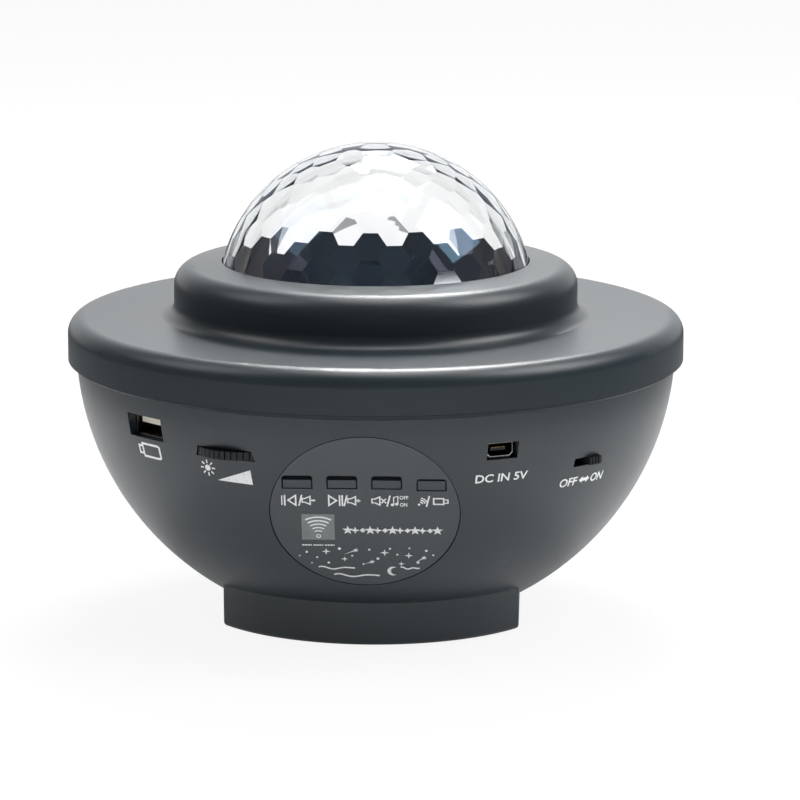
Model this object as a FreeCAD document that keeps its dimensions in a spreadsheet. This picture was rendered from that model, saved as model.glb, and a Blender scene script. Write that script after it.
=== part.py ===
import FreeCAD, Part
import math
import os
import Sketcher

# A star night light projector: a bowl on a flat-sided foot, a stepped round lid and a clear faceted dome.
# Millimetres, +Z up, origin at the middle of the base, the control panel faces -Y.

SIZES = {
    # Foot and bowl
    "foot_radius": 50.4,
    "foot_top_radius": 51.6,
    "foot_half_width": 39.8,
    "foot_lift": 0.5,
    "foot_depth": 20,
    "foot_edge": 1.4,
    "bowl_crease_height": 5.24,
    "bowl_arc_radius": 77.4,
    "bowl_wall": 2.4,
    "rim_inset": 2.4,
    "flange_inset": 0.8,
    "flange_depth": 1.3,
    "flange_slope": 1,
    "lip_height": 3,
    "lip_gap": 0.4,
    # Lid
    "lid_radius": 84,
    "lid_wall": 2.4,
    "lid_side_height": 11.6,
    "seam_height": 69.7,
    "seam_gap": 0.25,
    "brim_edge": 4.5,
    "collar_radius": 55,
    "collar_rise": 13.9,
    "collar_edge": 5.6,
    "collar_crown": 0.8,
    "collar_fillet": 3.5,
    # Dome
    "dome_radius": 43.2,
    "dome_wall": 2,
    "dome_seat_rise": 3.4,
    "dome_gap": 0.3,
    "dome_flange_radius": 46.2,
    "dome_flange_depth": 2,
    "dome_rib_width": 2,
    # Light deck under the dome, and the optics plate under the deck
    "deck_thickness": 2.5,
    "deck_gap": 0.4,
    "plate_radius": 48,
    "plate_thickness": 2.5,
    "plate_spacing": 13.2,
    "post_radius": 3,
    "post_ring": 38,
    "front_post_angle": 58,
    "rear_post_angle": 140,
    "beam_radius": 11,
    "ripple_lens_radius": 13,
    "ripple_lens_thickness": 1.4,
    # Gear train
    "gear_module": 0.8,
    "gear_width": 3,
    "gear_rise": 5.5,
    "gear_play": 0.12,
    "pressure_angle": 25,
    "addendum": 0.64,
    "dedendum": 0.84,
    "ripple_teeth": 68,
    "grating_teeth": 30,
    "pinion_teeth": 12,
    "ripple_axis": 15,
    "motor_angle": 112,
    "gear_web": 1.4,
    "gear_rim": 2,
    "hub_radius": 3.6,
    "spoke_width": 2,
    "pin_radius": 1.5,
    "running_gap": 0.05,
    "end_gap": 0.3,
    "clip_radius": 2.8,
    "clip_thickness": 0.6,
    "film_thickness": 0.3,
    # Motor and laser
    "motor_radius": 10,
    "motor_length": 15,
    "motor_tail_step": 2,
    "motor_tail_length": 3,
    "motor_nose_radius": 3.5,
    "motor_ear_reach": 13,
    "motor_ear_radius": 2.6,
    "motor_ear_thickness": 1.6,
    "shaft_radius": 1,
    "laser_radius": 6,
    "laser_length": 28,
    "laser_offset": 7,
    "laser_angle": 150,
    "laser_holder_wall": 2,
    "laser_holder_depth": 8.5,
    "laser_aperture": 2.5,
    # Lamp
    "lamp_tube_radius": 9,
    "lamp_tube_wall": 1.6,
    "lamp_tube_depth": 12,
    "lamp_ear_reach": 13,
    "lamp_ear_radius": 3,
    "lamp_board_gap": 0.3,
    "emitter_pitch": 4.6,
    "emitter_side": 3.5,
    "emitter_height": 1.1,
    "reflector_throat": 6,
    "reflector_wall": 0.8,
    "sink_width": 32,
    "sink_depth": 24,
    "sink_plate": 2.5,
    "fin_height": 9,
    "fin_width": 1.2,
    "fin_count": 7,
    # Screws
    "screw_radius": 1.3,
    "screw_head_radius": 2.7,
    "screw_head_height": 1.8,
    "pilot_radius": 1.35,
    "clear_radius": 1.7,
    "small_screw_radius": 0.9,
    "small_head_radius": 1.7,
    "small_head_height": 1.2,
    "small_pilot_radius": 0.95,
    "small_clear_radius": 1.15,
    # Pillars from the foot to the optics plate
    "sink_depth_gap": 0.2,
    "cover_screw_length": 9,
    "pillar_across": 26,
    "pillar_along": 35,
    "pillar_radius": 4.5,
    "pillar_bore": 3.1,
    "pillar_ledge": 2.5,
    "plate_boss_radius": 4,
    "plate_boss_depth": 6,
    "rib_width": 1.6,
    "rib_height": 34,
    # Bottom cover, rubber feet and speaker
    "cover_thickness": 2.4,
    "cover_inset": 0.8,
    "cover_gap": 0.3,
    "cover_boss_radius": 3.4,
    "cover_boss_height": 12,
    "grille_hole_radius": 1.4,
    "grille_pitch": 5,
    "pad_radius": 4.5,
    "pad_across": 28,
    "pad_along": 18,
    "pad_recess": 0.8,
    "speaker_radius": 25,
    "speaker_flange": 1.3,
    "basket_height": 11.3,
    "basket_wall": 1.1,
    "magnet_radius": 14,
    "magnet_height": 8,
    "coil_radius": 6.8,
    "coil_wall": 0.4,
    "coil_gap": 0.6,
    "cone_radius": 19.3,
    "cone_gap": 0.1,
    "surround_width": 3.1,
    # Boards
    "board_thickness": 1.6,
    "board_screw_inset": 4,
    "main_board_height": 30,
    "main_board_width": 96,
    "main_board_depth": 56,
    "board_post_radius": 2.6,
    "small_board_thickness": 1.2,
    "small_post_radius": 2,
    # Memory stick socket
    "stick_azimuth": -46.6,
    "stick_height": 60.4,
    "stick_slot_width": 13.9,
    "stick_slot_height": 6.2,
    "stick_shell_width": 13.1,
    "stick_shell_height": 5.7,
    "stick_shell_depth": 14,
    "socket_wall": 0.3,
    "socket_gap": 0.5,
    "socket_reach": 1.2,
    "stick_tongue_width": 11.2,
    "stick_tongue_height": 1.9,
    "stick_tongue_rise": 1.2,
    "stick_tongue_set_back": 1,
    # Power inlet
    "inlet_azimuth": 26.5,
    "inlet_height": 58.4,
    "inlet_slot_width": 8.8,
    "inlet_slot_height": 4.6,
    "inlet_shell_width": 7.6,
    "inlet_shell_height": 3.9,
    "inlet_shell_depth": 9,
    "inlet_taper": 0.9,
    "inlet_tongue_width": 4.2,
    "inlet_tongue_height": 0.9,
    # Brightness wheel
    "wheel_azimuth": -27.2,
    "wheel_height": 56.85,
    "wheel_radius": 12.5,
    "wheel_thickness": 2.2,
    "wheel_reach": 2.4,
    "wheel_gap": 0.35,
    "wheel_slot_width": 16.4,
    "wheel_slot_height": 2.8,
    "wheel_grooves": 48,
    "groove_depth": 0.35,
    "groove_half_width": 0.35,
    "dial_shaft_radius": 2,
    "dial_shaft_length": 3.4,
    "dial_width": 10,
    "dial_depth": 8,
    "dial_height": 5,
    # Power switch
    "switch_azimuth": 47,
    "switch_height": 52.05,
    "switch_slot_width": 9.2,
    "switch_slot_height": 2.4,
    "knob_width": 4.4,
    "knob_height": 2,
    "knob_proud": 1.3,
    "knob_end_gap": 0.15,
    "slider_width": 6.4,
    "slider_height": 2.8,
    "slider_depth": 2,
    "switch_body_width": 13.4,
    "switch_body_height": 4.8,
    "switch_body_depth": 4.6,
    "switch_board_width": 22.4,
    "switch_board_height": 8,
    # Control panel
    "panel_tilt": 26.4,
    "panel_radius": 24.65,
    "panel_gap": 0.25,
    "panel_thickness": 1.8,
    "panel_height": 41.5,
    "panel_depth": 4.55,
    "key_window_width": 8,
    "key_window_height": 4.4,
    "key_corner": 0.9,
    "key_gap": 0.2,
    "key_pitch": 11.6,
    "key_rise": 9.75,
    "last_key_drop": 0.65,
    "last_key_shortening": 0.4,
    "key_side_gap": 0.35,
    "key_cap_height": 2.6,
    "last_key_cap_height": 3,
    "key_set_back": 0.2,
    "key_flange_depth": 1,
    "key_flange_overlap": 1.4,
    "key_travel": 0.7,
    "key_stem_radius": 1.2,
    "key_stem_length": 1.4,
    "switch_body_rise": 2.4,
    "switch_body_side": 6,
    "switch_body_breadth": 3.6,
    "plunger_radius": 0.9,
    "plunger_length": 0.3,
    "window_side": 8.6,
    "window_across": -12.3,
    "window_rise": -5.2,
    "receiver_width": 6.6,
    "receiver_height": 7.4,
    "key_board_half_width": 20.4,
    "key_board_top": 12.5,
    "key_board_corner": 2.5,
    "key_board_bottom": 2.6,
    "key_board_post_radius": 1.7,
}


class Size:
    """A length, angle or count: its number, and the expression that ties it to the sheet."""

    def __init__(self, text, number):
        self.text = text
        self.number = number

    def __add__(self, other):
        other = as_size(other)
        return Size(f"({self.text} + {other.text})", self.number + other.number)

    def __sub__(self, other):
        other = as_size(other)
        return Size(f"({self.text} - {other.text})", self.number - other.number)

    def __mul__(self, other):
        other = as_size(other)
        return Size(f"({self.text} * {other.text})", self.number * other.number)

    def __truediv__(self, other):
        other = as_size(other)
        return Size(f"({self.text} / {other.text})", self.number / other.number)

    def __radd__(self, other):
        return as_size(other) + self

    def __rsub__(self, other):
        return as_size(other) - self

    def __rmul__(self, other):
        return as_size(other) * self

    def __rtruediv__(self, other):
        return as_size(other) / self

    def __neg__(self):
        return Size(f"(-1 * {self.text})", -self.number)


def as_size(value):
    """A Size as it is, or a plain number as a Size of its own."""
    if isinstance(value, Size):
        return value
    return Size(f"({value})", float(value))


def root(value):
    return Size(f"sqrt({value.text})", math.sqrt(value.number))


def sine(angle):
    angle = as_size(angle)
    return Size(f"sin({angle.text} * 1 deg)", math.sin(math.radians(angle.number)))


def cosine(angle):
    angle = as_size(angle)
    return Size(f"cos({angle.text} * 1 deg)", math.cos(math.radians(angle.number)))


def arctangent(ratio):
    return Size(f"(atan({ratio.text}) / 1 deg)", math.degrees(math.atan(ratio.number)))


def larger(first, second):
    return Size(f"max({first.text}; {second.text})", max(first.number, second.number))


class Sheet:
    """The worksheet of driving sizes; each size is an attribute with its alias as name."""

    def __init__(self, document, sizes):
        table = document.addObject("Spreadsheet::Sheet", "sizes")
        for row, (alias, number) in enumerate(sizes.items(), start=1):
            table.set(f"A{row}", alias)
            table.set(f"B{row}", str(number))
            table.setAlias(f"B{row}", alias)
            setattr(self, alias, Size(f"sizes.{alias}", float(number)))
        document.recompute()


class Frame:
    """Where a piece's own axes stand: turned about an axis by an angle, then moved to a spot."""

    def __init__(self, x=0, y=0, z=0, angle=0, axis=(0, 0, 1)):
        self.spot = [as_size(x), as_size(y), as_size(z)]
        self.angle = as_size(angle)
        self.axis = axis


doc = FreeCAD.newDocument("star_projector")
s = Sheet(doc, SIZES)

UPRIGHT = Frame()


def place(thing, frame):
    """Puts a thing in its frame and ties the frame's sizes to the sheet."""
    base = FreeCAD.Vector(*[size.number for size in frame.spot])
    turn = FreeCAD.Rotation(FreeCAD.Vector(*frame.axis), frame.angle.number)
    thing.Placement = FreeCAD.Placement(base, turn)
    for letter, size in zip("xyz", frame.spot):
        if "sizes." in size.text:
            thing.setExpression(f"Placement.Base.{letter}", size.text)
    if "sizes." in frame.angle.text:
        thing.setExpression("Placement.Rotation.Angle", frame.angle.text)


def bind(thing, **properties):
    """Gives each property its size, through an expression where the size comes from the sheet."""
    for name, size in properties.items():
        size = as_size(size)
        if "sizes." in size.text:
            thing.setExpression(name, size.text)
        else:
            setattr(thing, name, size.number)


def new_body(label, frame):
    body = doc.addObject("PartDesign::Body", label)
    body.Label = label
    place(body, frame)
    return body


def new_sketch(body, plane, start=0):
    """An empty sketch on one of the body's own planes, moved out along the plane's normal."""
    sketch = body.newObject("Sketcher::SketchObject", f"{body.Name}_sketch")
    own_plane = [item for item in body.Origin.OriginFeatures if item.Role == plane][0]
    sketch.AttachmentSupport = [(own_plane, "")]
    sketch.MapMode = "FlatFace"
    start = as_size(start)
    sketch.AttachmentOffset = FreeCAD.Placement(FreeCAD.Vector(0, 0, start.number), FreeCAD.Rotation())
    if "sizes." in start.text:
        sketch.setExpression("AttachmentOffset.Base.z", start.text)
    return sketch


def fix(sketch, kind, size, *ends):
    """Adds a dimension to a sketch and ties it to its size."""
    number = sketch.addConstraint(Sketcher.Constraint(kind, *ends, size.number))
    if "sizes." in size.text:
        sketch.setExpression(f"Constraints[{number}]", size.text)


def arc_between(start, end, radius, turn):
    """The short arc from start to end; turn 1 is counter-clockwise and -1 clockwise."""
    chord = end - start
    half = chord.Length / 2
    left = FreeCAD.Vector(-chord.y, chord.x, 0).normalize()
    rise = math.sqrt(max(radius * radius - half * half, 0))
    centre = (start + end) / 2 + left * rise * turn
    circle = Part.Circle(centre, FreeCAD.Vector(0, 0, 1), radius)
    ends = (start, end) if turn > 0 else (end, start)
    angles = [math.atan2(point.y - centre.y, point.x - centre.x) for point in ends]
    return Part.ArcOfCircle(circle, *angles)


def draw_outline(sketch, outline):
    """Draws a closed outline. A corner is (across, up), and (across, up, radius, turn) starts an arc."""
    corners = [(as_size(corner[0]), as_size(corner[1])) for corner in outline]
    points = [FreeCAD.Vector(across.number, up.number, 0) for across, up in corners]
    first_edge = sketch.GeometryCount
    starts = []
    for place_in_line, corner in enumerate(outline):
        start = points[place_in_line]
        end = points[(place_in_line + 1) % len(points)]
        if len(corner) == 2:
            edge = sketch.addGeometry(Part.LineSegment(start, end), False)
            starts.append((edge, 1, 2))
            continue
        radius = as_size(corner[2])
        edge = sketch.addGeometry(arc_between(start, end, radius.number, corner[3]), False)
        starts.append((edge, 1, 2) if corner[3] > 0 else (edge, 2, 1))
        fix(sketch, "Radius", radius, edge)
    for place_in_line, (edge, begin, finish) in enumerate(starts):
        following, following_begin, _ = starts[(place_in_line + 1) % len(starts)]
        sketch.addConstraint(Sketcher.Constraint("Coincident", edge, finish, following, following_begin))
        across, up = corners[place_in_line]
        fix(sketch, "DistanceX", across, -1, 1, edge, begin)
        fix(sketch, "DistanceY", up, -1, 1, edge, begin)
    return first_edge


def draw_circle(sketch, across, up, radius):
    across, up, radius = as_size(across), as_size(up), as_size(radius)
    centre = FreeCAD.Vector(across.number, up.number, 0)
    edge = sketch.addGeometry(Part.Circle(centre, FreeCAD.Vector(0, 0, 1), radius.number), False)
    fix(sketch, "Radius", radius, edge)
    fix(sketch, "DistanceX", across, -1, 1, edge, 3)
    fix(sketch, "DistanceY", up, -1, 1, edge, 3)


def draw(sketch, shapes):
    """Draws outlines, which are lists, and circles, which are tuples of across, up and radius."""
    for shape in shapes:
        if isinstance(shape, list):
            draw_outline(sketch, shape)
        else:
            draw_circle(sketch, *shape)


def rectangle(left, bottom, right, top):
    return [(left, bottom), (right, bottom), (right, top), (left, top)]


def centred(width, height, across=0, up=0):
    half_width, half_height = as_size(width) / 2, as_size(height) / 2
    return rectangle(across - half_width, up - half_height, across + half_width, up + half_height)


def pad(body, shapes, start, thickness, plane="XY_Plane"):
    sketch = new_sketch(body, plane, start)
    draw(sketch, shapes)
    feature = body.newObject("PartDesign::Pad", f"{body.Name}_pad")
    feature.Profile = sketch
    bind(feature, Length=thickness)
    return feature


def slab(label, shapes, start, thickness, plane="XY_Plane", frame=UPRIGHT):
    """A flat piece: the first shape is its edge and the others are holes through it.

    On XY it rises from start; on XZ it grows towards -Y from start, which then counts outwards.
    """
    body = new_body(label, frame)
    pad(body, shapes, start, thickness, plane)
    return body


def turned(label, outline, frame=UPRIGHT):
    """A round piece: the outline, given as radius and height, turned about the frame's Z axis."""
    body = new_body(label, frame)
    sketch = new_sketch(body, "XZ_Plane")
    draw(sketch, [outline])
    turn = body.newObject("PartDesign::Revolution", f"{label}_turn")
    turn.Profile = (sketch, [""])
    turn.ReferenceAxis = (sketch, ["V_Axis"])
    turn.Angle = 360
    return body


def rod(label, radius, low, high, x=0, y=0):
    """An upright round bar made as a primitive."""
    thing = doc.addObject("Part::Cylinder", label)
    thing.Label = label
    place(thing, Frame(x, y, low))
    bind(thing, Radius=radius, Height=high - low)
    return thing


def union(label, pieces):
    thing = doc.addObject("Part::MultiFuse", label)
    thing.Label = label
    thing.Shapes = pieces
    thing.Refine = True
    return thing


def shared(label, first, second):
    thing = doc.addObject("Part::Common", label)
    thing.Label = label
    thing.Base = first
    thing.Tool = second
    return thing


def without(label, base, tools):
    thing = doc.addObject("Part::Cut", label)
    thing.Label = label
    thing.Base = base
    thing.Tool = tools[0] if len(tools) == 1 else union(f"{label}_tools", tools)
    thing.Refine = True
    return thing


def group(label, pieces):
    """Separate solids that share one node."""
    thing = doc.addObject("Part::Compound", label)
    thing.Label = label
    thing.Links = pieces
    return thing


def both_signs(across, along):
    return [(across * sx, along * sy) for sx in (1, -1) for sy in (1, -1)]


def ring_spots(radius, angles):
    return [(radius * cosine(angle), radius * sine(angle)) for angle in angles]


def screws(label, spots, head, length, up=1, small=False):
    """Pan-head screws with the head's bearing face at one height; up is 1 where the shank rises."""
    shank_radius = s.small_screw_radius if small else s.screw_radius
    head_radius = s.small_head_radius if small else s.screw_head_radius
    head_height = s.small_head_height if small else s.screw_head_height
    outline = [
        (0, -up * head_height),
        (head_radius, -up * head_height),
        (head_radius, 0),
        (shank_radius, 0),
        (shank_radius, up * length),
        (0, up * length),
    ]
    made = []
    for count, (x, y) in enumerate(spots, start=1):
        made.append(turned(f"{label}_{count}", outline, Frame(x, y, head)))
    return group(label, made)


# Heights and radii that several pieces share

flange_radius = s.lid_radius - s.flange_inset
flange_top = s.seam_height - s.seam_gap
flange_bottom = flange_top - s.flange_depth
rim_radius = s.lid_radius - s.rim_inset
inner_arc_radius = s.bowl_arc_radius - s.bowl_wall

# The bowl's section is an arc from its crease with the foot's flat side up to the rim
chord_run = rim_radius - s.foot_half_width
chord_rise = flange_bottom - s.bowl_crease_height
chord = root(chord_run * chord_run + chord_rise * chord_rise)
arc_sweep = root(s.bowl_arc_radius * s.bowl_arc_radius - chord * chord / 4) / chord
arc_offset = (rim_radius + s.foot_half_width) / 2 - chord_rise * arc_sweep
arc_height = (flange_bottom + s.bowl_crease_height) / 2 + chord_run * arc_sweep


def on_bowl_arc(height, arc_radius):
    """The bowl's radius at a height, on an arc about the bowl's own arc centre."""
    rise = height - arc_height
    return arc_offset + root(arc_radius * arc_radius - rise * rise)


def arc_height_at(radius, arc_radius):
    """The height at which the lower part of such an arc has a radius."""
    run = radius - arc_offset
    return arc_height - root(arc_radius * arc_radius - run * run)


panel_out = on_bowl_arc(s.panel_height, s.bowl_arc_radius) - s.panel_depth
lip_radius = s.lid_radius - s.lid_wall - s.lip_gap
lip_top = flange_top + s.lip_height
brim_height = s.seam_height + s.lid_side_height
collar_inner = s.collar_radius - s.lid_wall
shoulder_height = brim_height + s.collar_rise
opening_height = shoulder_height + s.collar_crown
opening_bottom = opening_height - s.lid_wall
dome_centre = brim_height + s.dome_seat_rise
deck_top = dome_centre - s.dome_flange_depth
deck_bottom = deck_top - s.deck_thickness
plate_top = deck_bottom - s.plate_spacing
plate_bottom = plate_top - s.plate_thickness
gear_bottom = plate_top + s.gear_rise
gear_top = gear_bottom + s.gear_width
pillar_top = plate_bottom - s.plate_boss_depth
tube_bottom = plate_bottom - s.lamp_tube_depth
sink_bottom = tube_bottom - s.sink_plate
cover_bottom = s.foot_lift + s.cover_inset
cover_top = cover_bottom + s.cover_thickness
lid_boss_radius = s.screw_radius + s.bowl_wall - s.end_gap * 2
lid_boss_ring = collar_inner - lid_boss_radius + s.end_gap

LID_BOSS_SPOTS = ring_spots(lid_boss_ring, (0, 90, 180, 270))
POST_SPOTS = ring_spots(
    s.post_ring, (s.front_post_angle, -s.front_post_angle, s.rear_post_angle, -s.rear_post_angle)
)
PILLAR_SPOTS = both_signs(s.pillar_across, s.pillar_along)


def dome_gap_radius(height):
    """The lid's opening at a height: the dome's radius there and a gap."""
    rise = height - dome_centre
    return root(s.dome_radius * s.dome_radius - rise * rise) + s.dome_gap


# Lid

def make_top_cover():
    """The stepped lid: side wall, brim, raised collar, dome opening, clamping rib and screw bosses."""
    inside_edge = s.brim_edge - s.lid_wall
    inside_collar_edge = s.collar_edge - s.lid_wall
    skin = turned("top_cover_skin", [
        (s.lid_radius - s.lid_wall, s.seam_height),
        (s.lid_radius, s.seam_height),
        (s.lid_radius, brim_height - s.brim_edge, s.brim_edge, 1),
        (s.lid_radius - s.brim_edge, brim_height),
        (s.collar_radius + s.collar_fillet, brim_height, s.collar_fillet, -1),
        (s.collar_radius, brim_height + s.collar_fillet),
        (s.collar_radius, shoulder_height - s.collar_edge, s.collar_edge, 1),
        (s.collar_radius - s.collar_edge, shoulder_height),
        (dome_gap_radius(opening_height), opening_height),
        (dome_gap_radius(opening_bottom), opening_bottom),
        (s.collar_radius - s.collar_edge, shoulder_height - s.lid_wall, inside_collar_edge, -1),
        (collar_inner, shoulder_height - s.lid_wall - inside_collar_edge),
        (collar_inner, brim_height - s.lid_wall),
        (s.lid_radius - s.brim_edge, brim_height - s.lid_wall, inside_edge, -1),
        (s.lid_radius - s.lid_wall, brim_height - s.brim_edge),
    ])
    under_top = shoulder_height - s.lid_wall / 2
    rib = slab(
        "dome_rib",
        [(0, 0, s.dome_flange_radius), (0, 0, s.dome_flange_radius - s.dome_rib_width)],
        dome_centre,
        under_top - dome_centre,
    )
    bosses = [
        rod(f"lid_boss_{count}", lid_boss_radius, deck_top, under_top, x, y)
        for count, (x, y) in enumerate(LID_BOSS_SPOTS, start=1)
    ]
    pilots = [
        rod(f"lid_pilot_{count}", s.pilot_radius, deck_top - 1, under_top - s.lid_wall, x, y)
        for count, (x, y) in enumerate(LID_BOSS_SPOTS, start=1)
    ]
    return without("top_cover", union("top_cover_solid", [skin, rib] + bosses), pilots)


def make_dome_lens():
    """The clear dome: a shell whose widest ring stands on a flat flange."""
    inner = s.dome_radius - s.dome_wall
    return turned("dome_lens", [
        (inner, deck_top),
        (s.dome_flange_radius, deck_top),
        (s.dome_flange_radius, dome_centre),
        (s.dome_radius, dome_centre, s.dome_radius, 1),
        (0, dome_centre + s.dome_radius),
        (0, dome_centre + inner, inner, -1),
        (inner, dome_centre),
    ])


# Bowl

def foot_form(label, inset, bottom, top):
    """The foot's drum with its two flat sides, drawn in by the inset on every side."""
    edge = s.foot_edge
    radius, top_radius = s.foot_radius - inset, s.foot_top_radius - inset
    half_width = s.foot_half_width - inset
    drum = turned(f"{label}_drum", [
        (0, bottom),
        (radius - edge, bottom, edge, 1),
        (radius, bottom + edge),
        (top_radius, top),
        (0, top),
    ])
    sides = slab(
        f"{label}_sides",
        [[
            (-half_width + edge, bottom),
            (half_width - edge, bottom, edge, 1),
            (half_width, bottom + edge),
            (half_width, top),
            (-half_width, top),
            (-half_width, bottom + edge, edge, 1),
        ]],
        -top_radius * 1.2,
        top_radius * 2.4,
        "XZ_Plane",
    )
    return shared(label, drum, sides)


def panel_spot(across, rise, depth):
    """A point by its place on the control panel: across, up the panel, and out of it."""
    return (
        as_size(across),
        -panel_out - rise * sine(s.panel_tilt) - depth * cosine(s.panel_tilt),
        s.panel_height + rise * cosine(s.panel_tilt) - depth * sine(s.panel_tilt),
    )


def panel_frame():
    """Axes on the panel's face: X across, Y up the panel, Z straight out of it."""
    return Frame(0, -panel_out, s.panel_height, s.panel_tilt + 90, (1, 0, 0))


def side_frame(azimuth, height=0):
    """Axes of a control on the bowl's side: -Y points straight out at the azimuth."""
    return Frame(0, 0, height, azimuth)


def side_spot(azimuth, across, out):
    """The plan position of a point that stands out from the middle and across a control's axis."""
    return (
        out * sine(azimuth) + across * cosine(azimuth),
        -out * cosine(azimuth) + across * sine(azimuth),
    )


KEY_PLACES = [
    (-1.5 * s.key_pitch, s.key_rise),
    (-0.5 * s.key_pitch, s.key_rise),
    (0.5 * s.key_pitch, s.key_rise),
    (1.5 * s.key_pitch, s.key_rise - s.last_key_drop),
]
KEY_POST_PLACES = [(-s.key_pitch, s.key_rise), (s.key_pitch, s.key_rise)]
panel_back = -s.panel_thickness
pad_back = panel_back - s.bowl_wall
flange_top_depth = panel_back - s.key_gap
flange_back = flange_top_depth - s.key_flange_depth
stem_end = flange_back - s.key_stem_length
plunger_tip = stem_end - s.key_travel - s.running_gap
key_board_front = plunger_tip - s.plunger_length - s.switch_body_rise
key_board_back = key_board_front - s.small_board_thickness


def key_flange_outline(across, rise, margin=0):
    """The flange behind a key: as wide as the key, and lower than it."""
    half = s.key_window_width / 2 - s.key_gap + margin
    top = rise + s.key_window_height / 2 - s.key_gap + margin
    bottom = rise - s.key_window_height / 2 - s.key_flange_overlap - margin
    return rectangle(across - half, bottom, across + half, top)


stick_face = on_bowl_arc(s.stick_height - s.stick_shell_height / 2, inner_arc_radius) - s.socket_gap * 2
stick_board_top = s.stick_height - s.stick_shell_height / 2
inlet_face = on_bowl_arc(s.inlet_height - s.inlet_shell_height / 2, inner_arc_radius) - s.socket_gap
inlet_board_top = s.inlet_height - s.inlet_shell_height / 2
wheel_out = on_bowl_arc(s.wheel_height, s.bowl_arc_radius) + s.wheel_reach - s.wheel_radius
wheel_bottom = s.wheel_height - s.wheel_thickness / 2
dial_top = wheel_bottom - s.end_gap
dial_board_top = dial_top - s.dial_height
switch_face = on_bowl_arc(s.switch_height - s.switch_body_height / 2, inner_arc_radius) - s.socket_gap * 2
switch_back = switch_face - s.switch_body_depth
switch_board_back = switch_back - s.small_board_thickness
knob_rest = s.switch_slot_width / 2 - s.knob_end_gap - s.knob_width / 2


class SideBoard:
    """A small board on the bowl's side that stands on two posts."""

    def __init__(self, name, azimuth, top, width, inner, outer, post_across, post_out):
        self.name = name
        self.azimuth = azimuth
        self.top = top
        self.bottom = top - s.small_board_thickness
        self.width = as_size(width)
        self.inner = inner
        self.outer = outer
        self.post_spots = [
            side_spot(azimuth, post_across, post_out),
            side_spot(azimuth, -post_across, post_out),
        ]
        self.screw_places = [(post_across, -post_out), (-post_across, -post_out)]

    def make(self):
        """The board itself, with a hole over each post."""
        holes = [(x, y, s.small_clear_radius) for x, y in self.screw_places]
        edge = rectangle(-self.width / 2, -self.outer, self.width / 2, -self.inner)
        return slab(
            self.name, [edge] + holes, self.bottom, s.small_board_thickness, "XY_Plane", side_frame(self.azimuth)
        )


STICK_BOARD = SideBoard(
    "stick_board", s.stick_azimuth, stick_board_top, s.stick_shell_width + 3,
    stick_face - s.stick_shell_depth - 6, stick_face - s.socket_gap,
    s.stick_shell_width / 2 - 1, stick_face - s.stick_shell_depth - 3,
)
INLET_BOARD = SideBoard(
    "inlet_board", s.inlet_azimuth, inlet_board_top, s.inlet_shell_width + 8,
    inlet_face - s.inlet_shell_depth - 6, inlet_face - s.socket_gap * 2,
    s.inlet_shell_width / 2 + 1, inlet_face - s.inlet_shell_depth - 3,
)
DIAL_BOARD = SideBoard(
    "dial_board", s.wheel_azimuth, dial_board_top, s.dial_width + 8,
    wheel_out - s.dial_depth / 2 - 7, wheel_out + s.dial_depth / 2 - 1.5,
    s.dial_width / 2 + 1, wheel_out - s.dial_depth / 2 - 4,
)
SIDE_BOARDS = [STICK_BOARD, INLET_BOARD, DIAL_BOARD]
SWITCH_BOSS_PLACES = [
    (s.switch_board_width / 2 - s.small_post_radius, 0),
    (-s.switch_board_width / 2 + s.small_post_radius, 0),
]
BOARD_SPOTS = both_signs(
    s.main_board_width / 2 - s.board_screw_inset, s.main_board_depth / 2 - s.board_screw_inset
)
foot_inner_radius = s.foot_radius - s.bowl_wall
foot_inner_half = s.foot_half_width - s.bowl_wall
cover_boss_out = foot_inner_radius - s.cover_boss_radius + s.end_gap
cover_boss_side = foot_inner_half - s.cover_boss_radius + s.end_gap
COVER_BOSS_SPOTS = [
    (as_size(0), cover_boss_out),
    (as_size(0), -cover_boss_out),
    (cover_boss_side, as_size(0)),
    (-cover_boss_side, as_size(0)),
]


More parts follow.
